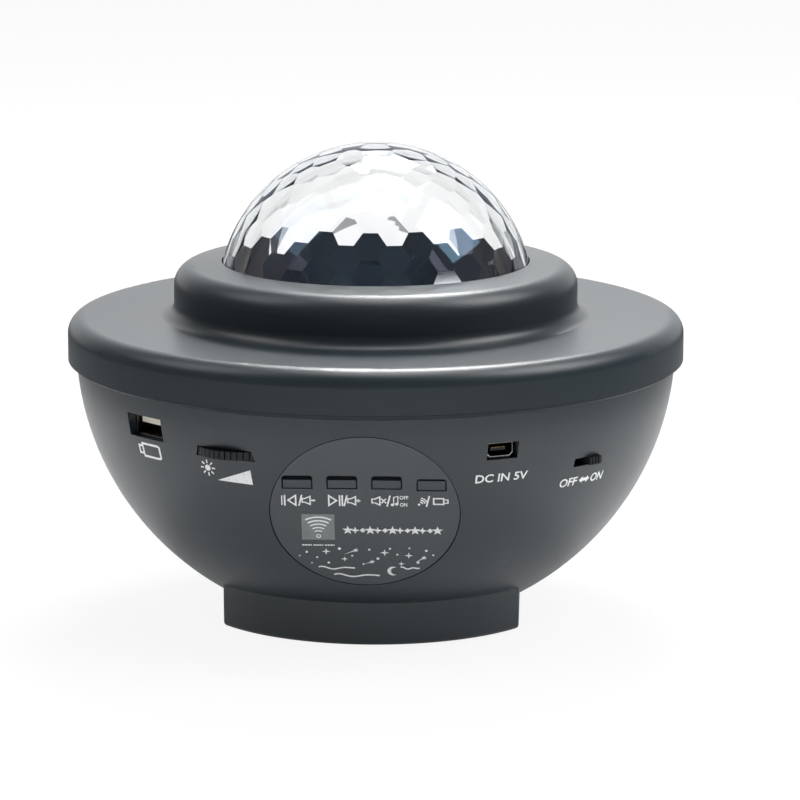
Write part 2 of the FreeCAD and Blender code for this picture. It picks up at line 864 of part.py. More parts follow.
def bowl_features():
    """The posts, pillars, ribs and bosses inside the bowl, longer than they end up."""
    pieces = []
    for count, (x, y) in enumerate(PILLAR_SPOTS, start=1):
        pieces.append(rod(f"pillar_{count}", s.pillar_radius, cover_top, pillar_top, x, y))
    for count, (sign_x, sign_y) in enumerate(((1, 1), (1, -1), (-1, 1), (-1, -1)), start=1):
        x, y = s.pillar_across * sign_x, s.pillar_along * sign_y
        length = root(s.pillar_across * s.pillar_across + s.pillar_along * s.pillar_along)
        turn = arctangent(s.pillar_along / s.pillar_across) * sign_y
        if sign_x < 0:
            turn = 180 - turn
        edge = rectangle(
            s.pillar_bore + 0.5, -s.rib_width / 2, s.foot_radius * 2 - length, s.rib_width / 2
        )
        pieces.append(
            slab(f"pillar_rib_{count}", [edge], cover_top, s.rib_height - cover_top, "XY_Plane", Frame(x, y, 0, turn))
        )
    for count, (x, y) in enumerate(BOARD_SPOTS, start=1):
        pieces.append(rod(f"board_post_{count}", s.board_post_radius, cover_top, s.main_board_height, x, y))
    for count, (x, y) in enumerate(COVER_BOSS_SPOTS, start=1):
        top = cover_top + s.cover_boss_height
        pieces.append(rod(f"cover_boss_{count}", s.cover_boss_radius, cover_top, top, x, y))
    for board in SIDE_BOARDS:
        for count, (x, y) in enumerate(board.post_spots, start=1):
            pieces.append(
                rod(f"{board.name}_post_{count}", s.small_post_radius, cover_top, board.bottom, x, y)
            )
    frame = side_frame(s.switch_azimuth, s.switch_height)
    for count, (across, up) in enumerate(SWITCH_BOSS_PLACES, start=1):
        boss = [(across, up, s.small_post_radius)]
        length = s.lid_radius - switch_back
        pieces.append(slab(f"switch_boss_{count}", boss, switch_back, length, "XZ_Plane", frame))
    for count, (across, rise) in enumerate(KEY_POST_PLACES, start=1):
        post = [(across, rise, s.key_board_post_radius)]
        pieces.append(
            slab(f"key_post_{count}", post, key_board_front, panel_back - key_board_front, "XY_Plane", panel_frame())
        )
    return pieces


def bowl_cut_outs():
    """Everything that is cut through the finished bowl: windows, slots, bores and pilot holes."""
    tools = [
        slab("panel_pocket", [(0, 0, s.panel_radius + s.panel_gap)], panel_back, s.panel_radius,
             "XY_Plane", panel_frame()),
    ]
    for count, (across, rise) in enumerate(KEY_PLACES, start=1):
        tools.append(
            slab(f"key_opening_{count}", [key_flange_outline(across, rise, s.key_gap)], pad_back - 1,
                 s.bowl_wall + 2, "XY_Plane", panel_frame())
        )
    receiver = centred(s.receiver_width + 1, s.receiver_height + 1, s.window_across, s.window_rise)
    tools.append(
        slab("receiver_opening", [receiver], pad_back - 1, s.bowl_wall + 2, "XY_Plane", panel_frame())
    )
    slots = [
        ("stick_slot", s.stick_azimuth, s.stick_height, s.stick_slot_width, s.stick_slot_height, stick_face),
        ("inlet_slot", s.inlet_azimuth, s.inlet_height, s.inlet_slot_width, s.inlet_slot_height, inlet_face),
        ("wheel_slot", s.wheel_azimuth, s.wheel_height, s.wheel_slot_width, s.wheel_slot_height, wheel_out),
        ("switch_slot", s.switch_azimuth, s.switch_height, s.switch_slot_width, s.switch_slot_height, switch_face),
    ]
    for name, azimuth, height, width, tall, inner in slots:
        tools.append(
            slab(name, [centred(width, tall)], inner, s.lid_radius - inner, "XZ_Plane", side_frame(azimuth, height))
        )
    relief = (0, -wheel_out, s.wheel_radius + s.wheel_gap)
    low = s.wheel_height - s.wheel_slot_height / 2
    tools.append(
        slab("wheel_relief", [relief], low, s.wheel_slot_height, "XY_Plane", side_frame(s.wheel_azimuth))
    )
    for count, (x, y) in enumerate(PILLAR_SPOTS, start=1):
        tools.append(rod(f"pillar_bore_{count}", s.pillar_bore, cover_top - 1, pillar_top - s.pillar_ledge, x, y))
        tools.append(rod(f"pillar_hole_{count}", s.clear_radius, pillar_top - s.pillar_ledge - 1, pillar_top + 1, x, y))
    for count, (x, y) in enumerate(BOARD_SPOTS, start=1):
        low = s.main_board_height - s.cover_boss_height
        tools.append(rod(f"board_pilot_{count}", s.pilot_radius, low, s.main_board_height + 1, x, y))
    for count, (x, y) in enumerate(COVER_BOSS_SPOTS, start=1):
        tools.append(rod(f"cover_pilot_{count}", s.pilot_radius, cover_top - 1, cover_top + s.cover_boss_height - 1.5, x, y))
    for board in SIDE_BOARDS:
        for count, (x, y) in enumerate(board.post_spots, start=1):
            tools.append(
                rod(f"{board.name}_pilot_{count}", s.small_pilot_radius, board.bottom - 7, board.bottom + 1, x, y)
            )
    frame = side_frame(s.switch_azimuth, s.switch_height)
    for count, (across, up) in enumerate(SWITCH_BOSS_PLACES, start=1):
        pilot = [(across, up, s.small_pilot_radius)]
        tools.append(slab(f"switch_pilot_{count}", pilot, switch_back - 1, 4.5, "XZ_Plane", frame))
    for count, (across, rise) in enumerate(KEY_POST_PLACES, start=1):
        pilot = [(across, rise, s.small_pilot_radius)]
        tools.append(
            slab(f"key_pilot_{count}", pilot, key_board_front - 1, pad_back - key_board_front + 2, "XY_Plane",
                 panel_frame())
        )
    return tools


def make_bowl_housing():
    """The bowl with its flat-sided foot, its rim, the panel's seat and everything moulded inside."""
    round_form = turned("bowl_round", [
        (0, s.bowl_crease_height),
        (s.foot_half_width, s.bowl_crease_height, s.bowl_arc_radius, 1),
        (rim_radius, flange_bottom),
        (flange_radius, flange_bottom + s.flange_slope),
        (flange_radius, flange_top),
        (lip_radius, flange_top),
        (lip_radius, lip_top),
        (0, lip_top),
    ])
    foot = foot_form("foot_outside", as_size(0), s.foot_lift, s.foot_depth)
    outside = union("bowl_outside", [round_form, foot])
    floor_height = arc_height_at(foot_inner_half, inner_arc_radius)
    hollow_top = lip_top + 1
    round_hollow = turned("bowl_hollow_round", [
        (0, floor_height),
        (foot_inner_half, floor_height, inner_arc_radius, 1),
        (on_bowl_arc(hollow_top, inner_arc_radius), hollow_top),
        (0, hollow_top),
    ])
    foot_hollow = foot_form("foot_hollow", s.bowl_wall, s.foot_lift - s.foot_edge * 2, s.foot_depth)
    hollow = union("bowl_hollow_whole", [round_hollow, foot_hollow])
    panel_pad = slab(
        "panel_pad", [(0, 0, s.panel_radius + s.bowl_wall)], pad_back, s.panel_radius, "XY_Plane", panel_frame()
    )
    hollow = without("bowl_hollow", hollow, [panel_pad])
    shell = without("bowl_shell", outside, [hollow])
    inside = shared("bowl_inside_features", union("bowl_feature_set", bowl_features()), outside)
    whole = union("bowl_whole", [shell, inside])
    return without("bowl_housing", whole, bowl_cut_outs())


# Light deck, optics plate and what they carry

gear_reach = s.gear_module * (s.ripple_teeth + s.grating_teeth) / 2
pinion_reach = s.gear_module * (s.ripple_teeth + s.pinion_teeth) / 2
grating_axis = s.ripple_axis - gear_reach
motor_x = s.ripple_axis + pinion_reach * cosine(s.motor_angle)
motor_y = pinion_reach * sine(s.motor_angle)
laser_x = grating_axis + s.laser_offset * cosine(s.laser_angle)
laser_y = s.laser_offset * sine(s.laser_angle)
motor_bottom = plate_bottom - s.motor_length
shaft_bottom = motor_bottom + s.motor_tail_length
pin_bottom = plate_bottom + s.plate_thickness / 3
pin_top = gear_top + s.end_gap * 2 + s.clip_thickness
PIN_SPOTS = [(s.ripple_axis, as_size(0)), (grating_axis, as_size(0))]
MOTOR_EAR_SPOTS = [(motor_x + s.motor_ear_reach, motor_y), (motor_x - s.motor_ear_reach, motor_y)]
LAMP_EAR_SPOTS = [(s.lamp_ear_reach, as_size(0)), (-s.lamp_ear_reach, as_size(0))]


def make_light_deck():
    """The dark disc under the dome, with the lamp's opening, its lens seat and the laser's hole."""
    holes = [(0, 0, s.beam_radius), (laser_x, laser_y, s.laser_aperture)]
    holes += [(x, y, s.clear_radius) for x, y in LID_BOSS_SPOTS + POST_SPOTS]
    disc = slab("deck_disc", [(0, 0, collar_inner - s.deck_gap)] + holes, deck_bottom, s.deck_thickness)
    seat = rod("lens_seat", s.ripple_lens_radius + s.running_gap, deck_top - s.ripple_lens_thickness, deck_top + 1)
    return without("light_deck", disc, [seat])


def make_ripple_lens():
    """The fixed patterned lens over the lamp: a disc with a low crowned top."""
    bottom = deck_top - s.ripple_lens_thickness
    crown = s.ripple_lens_thickness
    radius = s.ripple_lens_radius
    crown_radius = (radius * radius + crown * crown) / (crown * 2)
    return turned("ripple_lens", [
        (0, bottom),
        (radius, bottom),
        (radius, deck_top, crown_radius, 1),
        (0, deck_top + crown),
    ])


def make_optics_plate():
    """The plate that carries the gears, motor, laser and lamp; its posts hold up the deck."""
    outer_tube = s.lamp_tube_radius + s.lamp_tube_wall
    holder_radius = s.laser_radius + s.laser_holder_wall
    solids = [rod("plate_disc", s.plate_radius, plate_bottom, plate_top)]
    solids.append(rod("lamp_tube", outer_tube, tube_bottom, plate_top))
    holder_bottom = plate_bottom - s.laser_holder_depth
    solids.append(rod("laser_holder", holder_radius, holder_bottom, plate_top, laser_x, laser_y))
    tools = [rod("lamp_tube_bore", s.lamp_tube_radius, tube_bottom - 1, plate_top + 1)]
    tools.append(rod("laser_aperture", s.laser_aperture, plate_bottom - 1, plate_top + 1, laser_x, laser_y))
    seat_radius = s.laser_radius + s.running_gap
    tools.append(rod("laser_seat", seat_radius, holder_bottom - 1, plate_bottom, laser_x, laser_y))
    nose_radius = s.motor_nose_radius + s.running_gap
    tools.append(rod("motor_hole", nose_radius, plate_bottom - 1, plate_top + 1, motor_x, motor_y))
    for count, (x, y) in enumerate(POST_SPOTS, start=1):
        solids.append(rod(f"deck_post_{count}", s.post_radius, plate_bottom, deck_bottom, x, y))
        tools.append(rod(f"deck_post_pilot_{count}", s.pilot_radius, deck_bottom - 9, deck_bottom + 1, x, y))
    for count, (x, y) in enumerate(PILLAR_SPOTS, start=1):
        solids.append(rod(f"plate_boss_{count}", s.plate_boss_radius, pillar_top, plate_top, x, y))
        tools.append(rod(f"plate_pilot_{count}", s.pilot_radius, pillar_top - 1, plate_top - 1, x, y))
    for count, (x, y) in enumerate(LAMP_EAR_SPOTS, start=1):
        solids.append(rod(f"lamp_ear_{count}", s.lamp_ear_radius, tube_bottom, plate_top, x, y))
        tools.append(rod(f"lamp_pilot_{count}", s.pilot_radius, tube_bottom - 1, tube_bottom + 8, x, y))
    for count, (x, y) in enumerate(PIN_SPOTS, start=1):
        solids.append(rod(f"pin_boss_{count}", s.hub_radius, plate_bottom, gear_bottom - s.end_gap, x, y))
        tools.append(rod(f"pin_bore_{count}", s.pin_radius, pin_bottom, gear_bottom, x, y))
    for count, (x, y) in enumerate(MOTOR_EAR_SPOTS, start=1):
        tools.append(rod(f"motor_pilot_{count}", s.small_pilot_radius, plate_bottom - 1, plate_top + 1, x, y))
    return without("optics_plate", union("optics_plate_solid", solids), tools)


def tooth_outline(teeth, inner):
    """One gear tooth that points along +Y, with arc flanks close to the involute, from an inner radius."""
    pitch_radius = s.gear_module * teeth / 2
    base_radius = pitch_radius * cosine(s.pressure_angle)
    start_radius = larger(base_radius, pitch_radius - s.dedendum)
    tip_radius = pitch_radius + s.addendum
    flank_radius = pitch_radius * sine(s.pressure_angle)

    def roll(radius):
        """The involute's angle at a radius, in degrees."""
        slope = root(larger(radius * radius - base_radius * base_radius, as_size(0))) / base_radius
        return slope * (180 / math.pi) - arctangent(slope)

    play_angle = s.gear_play / pitch_radius * (90 / math.pi)
    half_pitch_angle = 90 / teeth - play_angle + roll(pitch_radius)
    start_angle = half_pitch_angle - roll(start_radius)
    tip_angle = half_pitch_angle - roll(tip_radius)
    start_across, start_up = start_radius * sine(start_angle), start_radius * cosine(start_angle)
    tip_across, tip_up = tip_radius * sine(tip_angle), tip_radius * cosine(tip_angle)
    root_across, root_up = inner * sine(start_angle), inner * cosine(start_angle)
    return [
        (-root_across, root_up),
        (root_across, root_up),
        (start_across, start_up, flank_radius, 1),
        (tip_across, tip_up),
        (-tip_across, tip_up, flank_radius, 1),
        (-start_across, start_up),
    ]


def toothed(body, teeth, start, width):
    """Adds a full ring of teeth to a gear's body."""
    root_radius = s.gear_module * teeth / 2 - s.dedendum
    tooth = pad(body, [tooth_outline(teeth, root_radius - s.running_gap * 4)], start, width)
    pattern = body.newObject("PartDesign::PolarPattern", f"{body.Name}_teeth")
    pattern.Originals = [tooth]
    pattern.Axis = (tooth.Profile[0], ["N_Axis"])
    pattern.Angle = 360
    bind(pattern, Occurrences=teeth)
    body.Tip = pattern
    return root_radius


def make_ripple_disc():
    """The turning ripple disc: clear plastic, with a hub, a thin web and a toothed rim in one piece."""
    body = new_body("ripple_disc", Frame(s.ripple_axis, 0, gear_bottom, 90))
    root_radius = s.gear_module * s.ripple_teeth / 2 - s.dedendum
    bore = (0, 0, s.pin_radius + s.running_gap)
    pad(body, [(0, 0, root_radius), (0, 0, root_radius - s.gear_rim)], 0, s.gear_width)
    pad(body, [(0, 0, root_radius - s.gear_rim / 2), bore], 0, s.gear_web)
    pad(body, [(0, 0, s.hub_radius), bore], 0, s.gear_width)
    toothed(body, s.ripple_teeth, 0, s.gear_width)
    return body


def make_grating_gear():
    """The gear that carries the star grating: a toothed rim on three spokes."""
    teeth = s.grating_teeth
    root_radius = s.gear_module * teeth / 2 - s.dedendum
    body = new_body("grating_gear", Frame(grating_axis, 0, gear_bottom, 180 / teeth - 90))
    bore = (0, 0, s.pin_radius + s.running_gap)
    rim_inner = root_radius - s.gear_rim / 2
    pad(body, [(0, 0, root_radius), (0, 0, rim_inner)], 0, s.gear_width)
    spoke = rectangle(-s.spoke_width / 2, s.pin_radius * 1.5, s.spoke_width / 2, rim_inner + s.gear_rim / 4)
    first = pad(body, [spoke], 0, s.gear_web)
    spokes = body.newObject("PartDesign::PolarPattern", "grating_spokes")
    spokes.Originals = [first]
    spokes.Axis = (first.Profile[0], ["N_Axis"])
    spokes.Angle = 360
    spokes.Occurrences = 3
    body.Tip = spokes
    pad(body, [(0, 0, s.hub_radius), bore], 0, s.gear_width)
    toothed(body, teeth, 0, s.gear_width)
    return body


def make_grating_film():
    """The star grating: a thin ring that lies on the gear's spokes."""
    rim_inner = s.gear_module * s.grating_teeth / 2 - s.dedendum - s.gear_rim / 2
    ring = [(0, 0, rim_inner), (0, 0, s.hub_radius)]
    return slab("grating_film", ring, gear_bottom + s.gear_web, s.film_thickness, "XY_Plane", Frame(grating_axis))


def make_pinion():
    """The motor's pinion, pressed on the shaft and in mesh with the ripple disc."""
    teeth = s.pinion_teeth
    root_radius = s.gear_module * teeth / 2 - s.dedendum
    turn = (
        s.motor_angle + 90
        - (180 - s.motor_angle) * s.ripple_teeth / teeth
        + 180 / teeth
    )
    body = new_body("motor_pinion", Frame(motor_x, motor_y, gear_bottom, turn))
    pad(body, [(0, 0, root_radius), (0, 0, s.shaft_radius)], 0, s.gear_width)
    toothed(body, teeth, 0, s.gear_width)
    return body


def make_gear_pins():
    """The two steel pins that the ripple disc and the grating gear turn on."""
    pins = [
        rod(f"gear_pin_{count}", s.pin_radius, pin_bottom, pin_top, x, y)
        for count, (x, y) in enumerate(PIN_SPOTS, start=1)
    ]
    return group("gear_pins", pins)


def make_pin_clips():
    """The push-on rings that keep the gears on their pins."""
    clips = []
    for count, (x, y) in enumerate(PIN_SPOTS, start=1):
        ring = [(0, 0, s.clip_radius), (0, 0, s.pin_radius)]
        clips.append(
            slab(f"pin_clip_{count}", ring, gear_top + s.end_gap, s.clip_thickness, "XY_Plane", Frame(x, y))
        )
    return group("pin_clips", clips)


def make_motor():
    """The geared motor: a can with two ears and a nose that passes through the plate."""
    ear_bottom = plate_bottom - s.motor_ear_thickness
    can = turned("motor_can", [
        (0, motor_bottom),
        (s.motor_radius - s.motor_tail_step, motor_bottom),
        (s.motor_radius - s.motor_tail_step, shaft_bottom),
        (s.motor_radius, shaft_bottom),
        (s.motor_radius, plate_bottom),
        (s.motor_nose_radius, plate_bottom),
        (s.motor_nose_radius, plate_top),
        (0, plate_top),
    ], Frame(motor_x, motor_y))
    bore_radius = s.shaft_radius + s.running_gap
    bore = rod("motor_bore", bore_radius, shaft_bottom - s.end_gap, plate_top + 1, motor_x, motor_y)
    reach = s.motor_ear_reach
    end_radius = s.motor_ear_radius * 1.1
    wing = slab(
        "motor_ears",
        [
            [
                (-reach, -s.motor_ear_radius),
                (reach, -s.motor_ear_radius, end_radius, 1),
                (reach, s.motor_ear_radius),
                (-reach, s.motor_ear_radius, end_radius, 1),
            ],
            (reach, 0, s.small_clear_radius),
            (-reach, 0, s.small_clear_radius),
        ],
        ear_bottom, s.motor_ear_thickness, "XY_Plane", Frame(motor_x, motor_y),
    )
    return without("motor", union("motor_solid", [can, wing]), [bore])


def make_motor_shaft():
    return rod("motor_shaft", s.shaft_radius, shaft_bottom, gear_top, motor_x, motor_y)


def make_laser_module():
    """The laser in its brass barrel, with a small aperture in front."""
    bottom = plate_bottom - s.laser_length
    return turned("laser_module", [
        (0, bottom),
        (s.laser_radius - 1, bottom),
        (s.laser_radius, bottom + 1),
        (s.laser_radius, plate_bottom),
        (s.laser_aperture / 2, plate_bottom),
        (s.laser_aperture / 2, plate_bottom - 2),
        (0, plate_bottom - 2),
    ], Frame(laser_x, laser_y))


def make_lamp_board():
    return slab("lamp_board", [(0, 0, s.lamp_tube_radius - s.lamp_board_gap)], tube_bottom, s.board_thickness)


def make_emitters():
    """Four light emitters, one for each colour, in a square on the lamp board."""
    half = s.emitter_pitch / 2
    bottom = tube_bottom + s.board_thickness
    chips = [
        slab(f"emitter_{count}", [centred(s.emitter_side, s.emitter_side, x, y)], bottom, s.emitter_height)
        for count, (x, y) in enumerate(both_signs(half, half), start=1)
    ]
    return group("light_emitters", chips)


def make_reflector():
    """The bright cone round the emitters that gathers their light into the beam."""
    bottom = tube_bottom + s.board_thickness
    top = plate_top - s.end_gap
    mouth = s.lamp_tube_radius - s.lamp_board_gap
    return turned("lamp_reflector", [
        (s.reflector_throat, bottom),
        (mouth, bottom),
        (mouth, bottom + s.reflector_wall),
        (s.reflector_throat + s.reflector_wall, bottom + s.reflector_wall),
        (mouth, top),
        (mouth - s.reflector_wall, top),
        (s.reflector_throat, bottom + s.reflector_wall),
    ])


def make_heat_sink():
    """The finned aluminium block under the lamp board."""
    body = new_body("heat_sink", UPRIGHT)
    holes = [(x, y, s.clear_radius) for x, y in LAMP_EAR_SPOTS]
    pad(body, [centred(s.sink_width, s.sink_depth)] + holes, sink_bottom, s.sink_plate)
    fin_run = s.lamp_ear_reach * 2 - s.screw_head_radius * 2 - s.fin_width - 2
    left = -fin_run / 2
    fin = rectangle(left - s.fin_width / 2, -s.sink_depth / 2, left + s.fin_width / 2, s.sink_depth / 2)
    first = pad(body, [fin], sink_bottom - s.fin_height, s.fin_height)
    fins = body.newObject("PartDesign::LinearPattern", "sink_fins")
    fins.Originals = [first]
    fins.Direction = (first.Profile[0], ["H_Axis"])
    bind(fins, Length=fin_run, Occurrences=s.fin_count)
    body.Tip = fins
    return body


# Bottom cover and speaker

speaker_top = cover_top + s.basket_height
cone_low = cover_top + s.speaker_flange + 0.6
surround_outer = s.cone_radius + s.surround_width


def make_bottom_cover():
    """The plate that closes the foot, with the speaker's grille, screw holes and pad recesses."""
    body = foot_form("cover_form", s.bowl_wall + s.cover_gap, cover_bottom - s.foot_edge * 2, s.foot_depth)
    slice_box = slab(
        "cover_slice", [centred(s.foot_radius * 3, s.foot_radius * 3)], cover_bottom, s.cover_thickness
    )
    plate = shared("cover_plate", body, slice_box)
    tools = [rod("grille_hole_centre", s.grille_hole_radius, cover_bottom - 1, cover_top + 1)]
    for ring in (1, 2, 3):
        for step in range(6 * ring):
            x, y = ring_spots(s.grille_pitch * ring, (60 * step / ring,))[0]
            name = f"grille_hole_{ring}_{step + 1}"
            tools.append(rod(name, s.grille_hole_radius, cover_bottom - 1, cover_top + 1, x, y))
    for count, (x, y) in enumerate(PILLAR_SPOTS, start=1):
        tools.append(rod(f"driver_hole_{count}", s.pillar_bore, cover_bottom - 1, cover_top + 1, x, y))
    for count, (x, y) in enumerate(COVER_BOSS_SPOTS, start=1):
        tools.append(rod(f"cover_hole_{count}", s.clear_radius, cover_bottom - 1, cover_top + 1, x, y))
        sink = [
            (0, -s.sink_depth_gap),
            (s.screw_head_radius, -s.sink_depth_gap),
            (s.screw_head_radius, s.sink_depth_gap),
            (s.clear_radius, s.sink_depth_gap + s.screw_head_radius - s.clear_radius),
            (0, s.sink_depth_gap + s.screw_head_radius - s.clear_radius),
        ]
        tools.append(turned(f"cover_countersink_{count}", sink, Frame(x, y, cover_bottom)))
    for count, (x, y) in enumerate(both_signs(s.pad_across, s.pad_along), start=1):
        tools.append(rod(f"pad_recess_{count}", s.pad_radius, cover_bottom - 1, cover_bottom + s.pad_recess, x, y))
    return without("bottom_cover", plate, tools)


def make_cover_screws():
    """Four countersunk screws that hold the bottom cover, with their heads inside its face."""
    start = s.sink_depth_gap
    outline = [
        (0, start),
        (s.screw_head_radius, start),
        (s.screw_radius, start + s.screw_head_radius - s.screw_radius),
        (s.screw_radius, start + s.cover_screw_length),
        (0, start + s.cover_screw_length),
    ]
    made = [
        turned(f"cover_screw_{count}", outline, Frame(x, y, cover_bottom))
        for count, (x, y) in enumerate(COVER_BOSS_SPOTS, start=1)
    ]
    return group("cover_screws", made)


def make_rubber_feet():
    """Four rubber pads, the lowest points of the projector."""
    edge = s.pad_recess / 2
    outline = [
        (0, 0),
        (s.pad_radius - edge, 0, edge, 1),
        (s.pad_radius, edge),
        (s.pad_radius, cover_bottom + s.pad_recess),
        (0, cover_bottom + s.pad_recess),
    ]
    pads = [
        turned(f"rubber_foot_{count}", outline, Frame(x, y))
        for count, (x, y) in enumerate(both_signs(s.pad_across, s.pad_along), start=1)
    ]
    return group("rubber_feet", pads)


def make_speaker_basket():
    """The speaker's pressed frame: a flange on the cover and a cone up to the magnet."""
    wall = s.basket_wall
    neck = s.magnet_radius - 1
    return turned("speaker_basket", [
        (surround_outer, cover_top),
        (s.speaker_radius, cover_top),
        (s.speaker_radius, cover_top + s.speaker_flange),
        (surround_outer + wall, cover_top + s.speaker_flange),
        (surround_outer + wall, cover_top + s.basket_height / 2),
        (neck, speaker_top - wall),
        (neck, speaker_top),
        (s.coil_radius + s.coil_gap, speaker_top),
        (s.coil_radius + s.coil_gap, speaker_top - wall),
        (neck - wall, speaker_top - wall * 2),
        (surround_outer, cover_top + s.basket_height / 2 - wall),
    ])


def make_speaker_magnet():
    """The magnet with its back plate and pole, and the round gap that the coil moves in."""
    top = speaker_top + s.magnet_height
    gap_inner = s.coil_radius - s.coil_wall - s.coil_gap
    return turned("speaker_magnet", [
        (0, speaker_top),
        (gap_inner, speaker_top),
        (gap_inner, top - 2),
        (s.coil_radius + s.coil_gap, top - 2),
        (s.coil_radius + s.coil_gap, speaker_top),
        (s.magnet_radius, speaker_top),
        (s.magnet_radius, top),
        (0, top),
    ])


def make_speaker_cone():
    """The moving cone: paper cone, dust cap and voice coil in one piece."""
    thickness = s.coil_wall * 1.5
    neck_height = speaker_top - s.basket_wall * 3
    coil_inner = s.coil_radius - s.coil_wall
    cap_rise = 1.6
    cap_radius = (coil_inner * coil_inner + cap_rise * cap_rise) / (cap_rise * 2)
    return turned("speaker_cone", [
        (0, neck_height - thickness - cap_rise, cap_radius, 1),
        (coil_inner, neck_height - thickness),
        (s.cone_radius, cone_low),
        (s.cone_radius, cone_low + thickness),
        (s.coil_radius, neck_height),
        (s.coil_radius, speaker_top + s.magnet_height - 4),
        (coil_inner, speaker_top + s.magnet_height - 4),
        (coil_inner, neck_height),
        (0, neck_height - cap_rise),
    ])


def make_speaker_surround():
    """The rubber half roll between the cone and the basket."""
    thickness = s.coil_wall * 1.5
    roll = s.surround_width * 0.55
    inner = s.cone_radius + s.cone_gap
    return turned("speaker_surround", [
        (inner, cone_low, roll, 1),
        (surround_outer, cone_low),
        (surround_outer, cone_low + thickness, roll, -1),
        (inner, cone_low + thickness),
    ])


# Boards

BOARD_PARTS = [
    # x, y, width, depth, height
    (8, -4, 10, 10, 1.2),
    (-12, -14, 8, 6, 1.5),
    (30, 8, 7, 7, 1.2),
    (-44, 6, 5, 12, 5),
    (44, 2, 5, 12, 5),
    (24, -24, 14, 4, 5),
    (-10, 24, 16, 4, 5),
    (20, 20, 6, 4, 1),
]
BOARD_CANS = [
    # x, y, radius, height
    (-30, -18, 3.2, 7),
    (-22, -20, 2.5, 6),
    (36, -12, 3.2, 6),
]


def make_main_board():
    holes = [(x, y, s.clear_radius) for x, y in BOARD_SPOTS]
    edge = centred(s.main_board_width, s.main_board_depth)
    return slab("main_board", [edge] + holes, s.main_board_height, s.board_thickness)


def make_board_components():
    """The chips, plugs and capacitors that stand on the main board."""
    top = s.main_board_height + s.board_thickness
    pieces = []
    for count, (x, y, width, depth, height) in enumerate(BOARD_PARTS, start=1):
        pieces.append(slab(f"component_{count}", [centred(width, depth, x, y)], top, height))
    for count, (x, y, radius, height) in enumerate(BOARD_CANS, start=1):
        pieces.append(rod(f"capacitor_{count}", radius, top, top + height, x, y))
    return group("board_components", pieces)


# Sockets, brightness wheel and power switch on the bowl's side

def make_stick_shell():
    """The metal shell of the memory stick socket, open to the front."""
    frame = side_frame(s.stick_azimuth, s.stick_height)
    outer = centred(s.stick_shell_width, s.stick_shell_height)
    inner = centred(s.stick_shell_width - s.socket_wall * 2, s.stick_shell_height - s.socket_wall * 2)
    start = stick_face - s.stick_shell_depth
    return slab("memory_stick_shell", [outer, inner], start, s.stick_shell_depth + s.socket_reach, "XZ_Plane", frame)


def make_stick_tongue():
    """The pale block at the back of the memory stick socket, with the contact tongue."""
    frame = side_frame(s.stick_azimuth, s.stick_height)
    body = new_body("memory_stick_tongue", frame)
    gap = s.socket_wall + s.running_gap
    block = centred(s.stick_shell_width - gap * 2, s.stick_shell_height - gap * 2)
    start = stick_face - s.stick_shell_depth
    block_depth = s.stick_shell_depth / 4
    pad(body, [block], start, block_depth, "XZ_Plane")
    tongue = centred(s.stick_tongue_width, s.stick_tongue_height, 0, s.stick_tongue_rise)
    length = s.stick_shell_depth + s.socket_reach - s.stick_tongue_set_back - block_depth / 2
    pad(body, [tongue], start + block_depth / 2, length, "XZ_Plane")
    return body


def inlet_outline(inset):
    """The inlet's section: a box whose two lower corners are cut off."""
    half_width = s.inlet_shell_width / 2 - inset
    half_height = s.inlet_shell_height / 2 - inset
    taper = s.inlet_taper
    return [
        (-half_width + taper, -half_height),
        (half_width - taper, -half_height),
        (half_width, -half_height + taper),
        (half_width, half_height),
        (-half_width, half_height),
        (-half_width, -half_height + taper),
    ]


def make_inlet_shell():
    frame = side_frame(s.inlet_azimuth, s.inlet_height)
    shapes = [inlet_outline(as_size(0)), inlet_outline(s.socket_wall)]
    start = inlet_face - s.inlet_shell_depth
    return slab("power_inlet_shell", shapes, start, s.inlet_shell_depth + s.socket_reach, "XZ_Plane", frame)


def make_inlet_tongue():
    """The block at the back of the power inlet, with its contact tongue."""
    body = new_body("power_inlet_tongue", side_frame(s.inlet_azimuth, s.inlet_height))
    start = inlet_face - s.inlet_shell_depth
    block_depth = s.inlet_shell_depth / 4
    pad(body, [inlet_outline(s.socket_wall + s.running_gap)], start, block_depth, "XZ_Plane")
    tongue = centred(s.inlet_tongue_width, s.inlet_tongue_height)
    length = s.inlet_shell_depth + s.socket_reach - s.stick_tongue_set_back - block_depth / 2
    pad(body, [tongue], start + block_depth / 2, length, "XZ_Plane")
    return body


def make_brightness_wheel():
    """The knurled thumb wheel, with the stub shaft that turns in the dial."""
    x, y = side_spot(s.wheel_azimuth, 0, wheel_out)
    body = new_body("brightness_wheel", Frame(x, y, wheel_bottom, s.wheel_azimuth))
    pad(body, [(0, 0, s.wheel_radius)], 0, s.wheel_thickness)
    pad(body, [(0, 0, s.dial_shaft_radius)], -s.dial_shaft_length, s.dial_shaft_length + s.wheel_thickness / 2)
    sketch = new_sketch(body, "XY_Plane", s.wheel_thickness)
    half, depth = s.groove_half_width, s.groove_depth
    draw(sketch, [[
        (0, s.wheel_radius - depth),
        (half, s.wheel_radius + depth),
        (-half, s.wheel_radius + depth),
    ]])
    groove = body.newObject("PartDesign::Pocket", "wheel_groove")
    groove.Profile = sketch
    groove.Type = "ThroughAll"
    pattern = body.newObject("PartDesign::PolarPattern", "wheel_grooves")
    pattern.Originals = [groove]
    pattern.Axis = (sketch, ["N_Axis"])
    pattern.Angle = 360
    bind(pattern, Occurrences=s.wheel_grooves)
    body.Tip = pattern
    return body


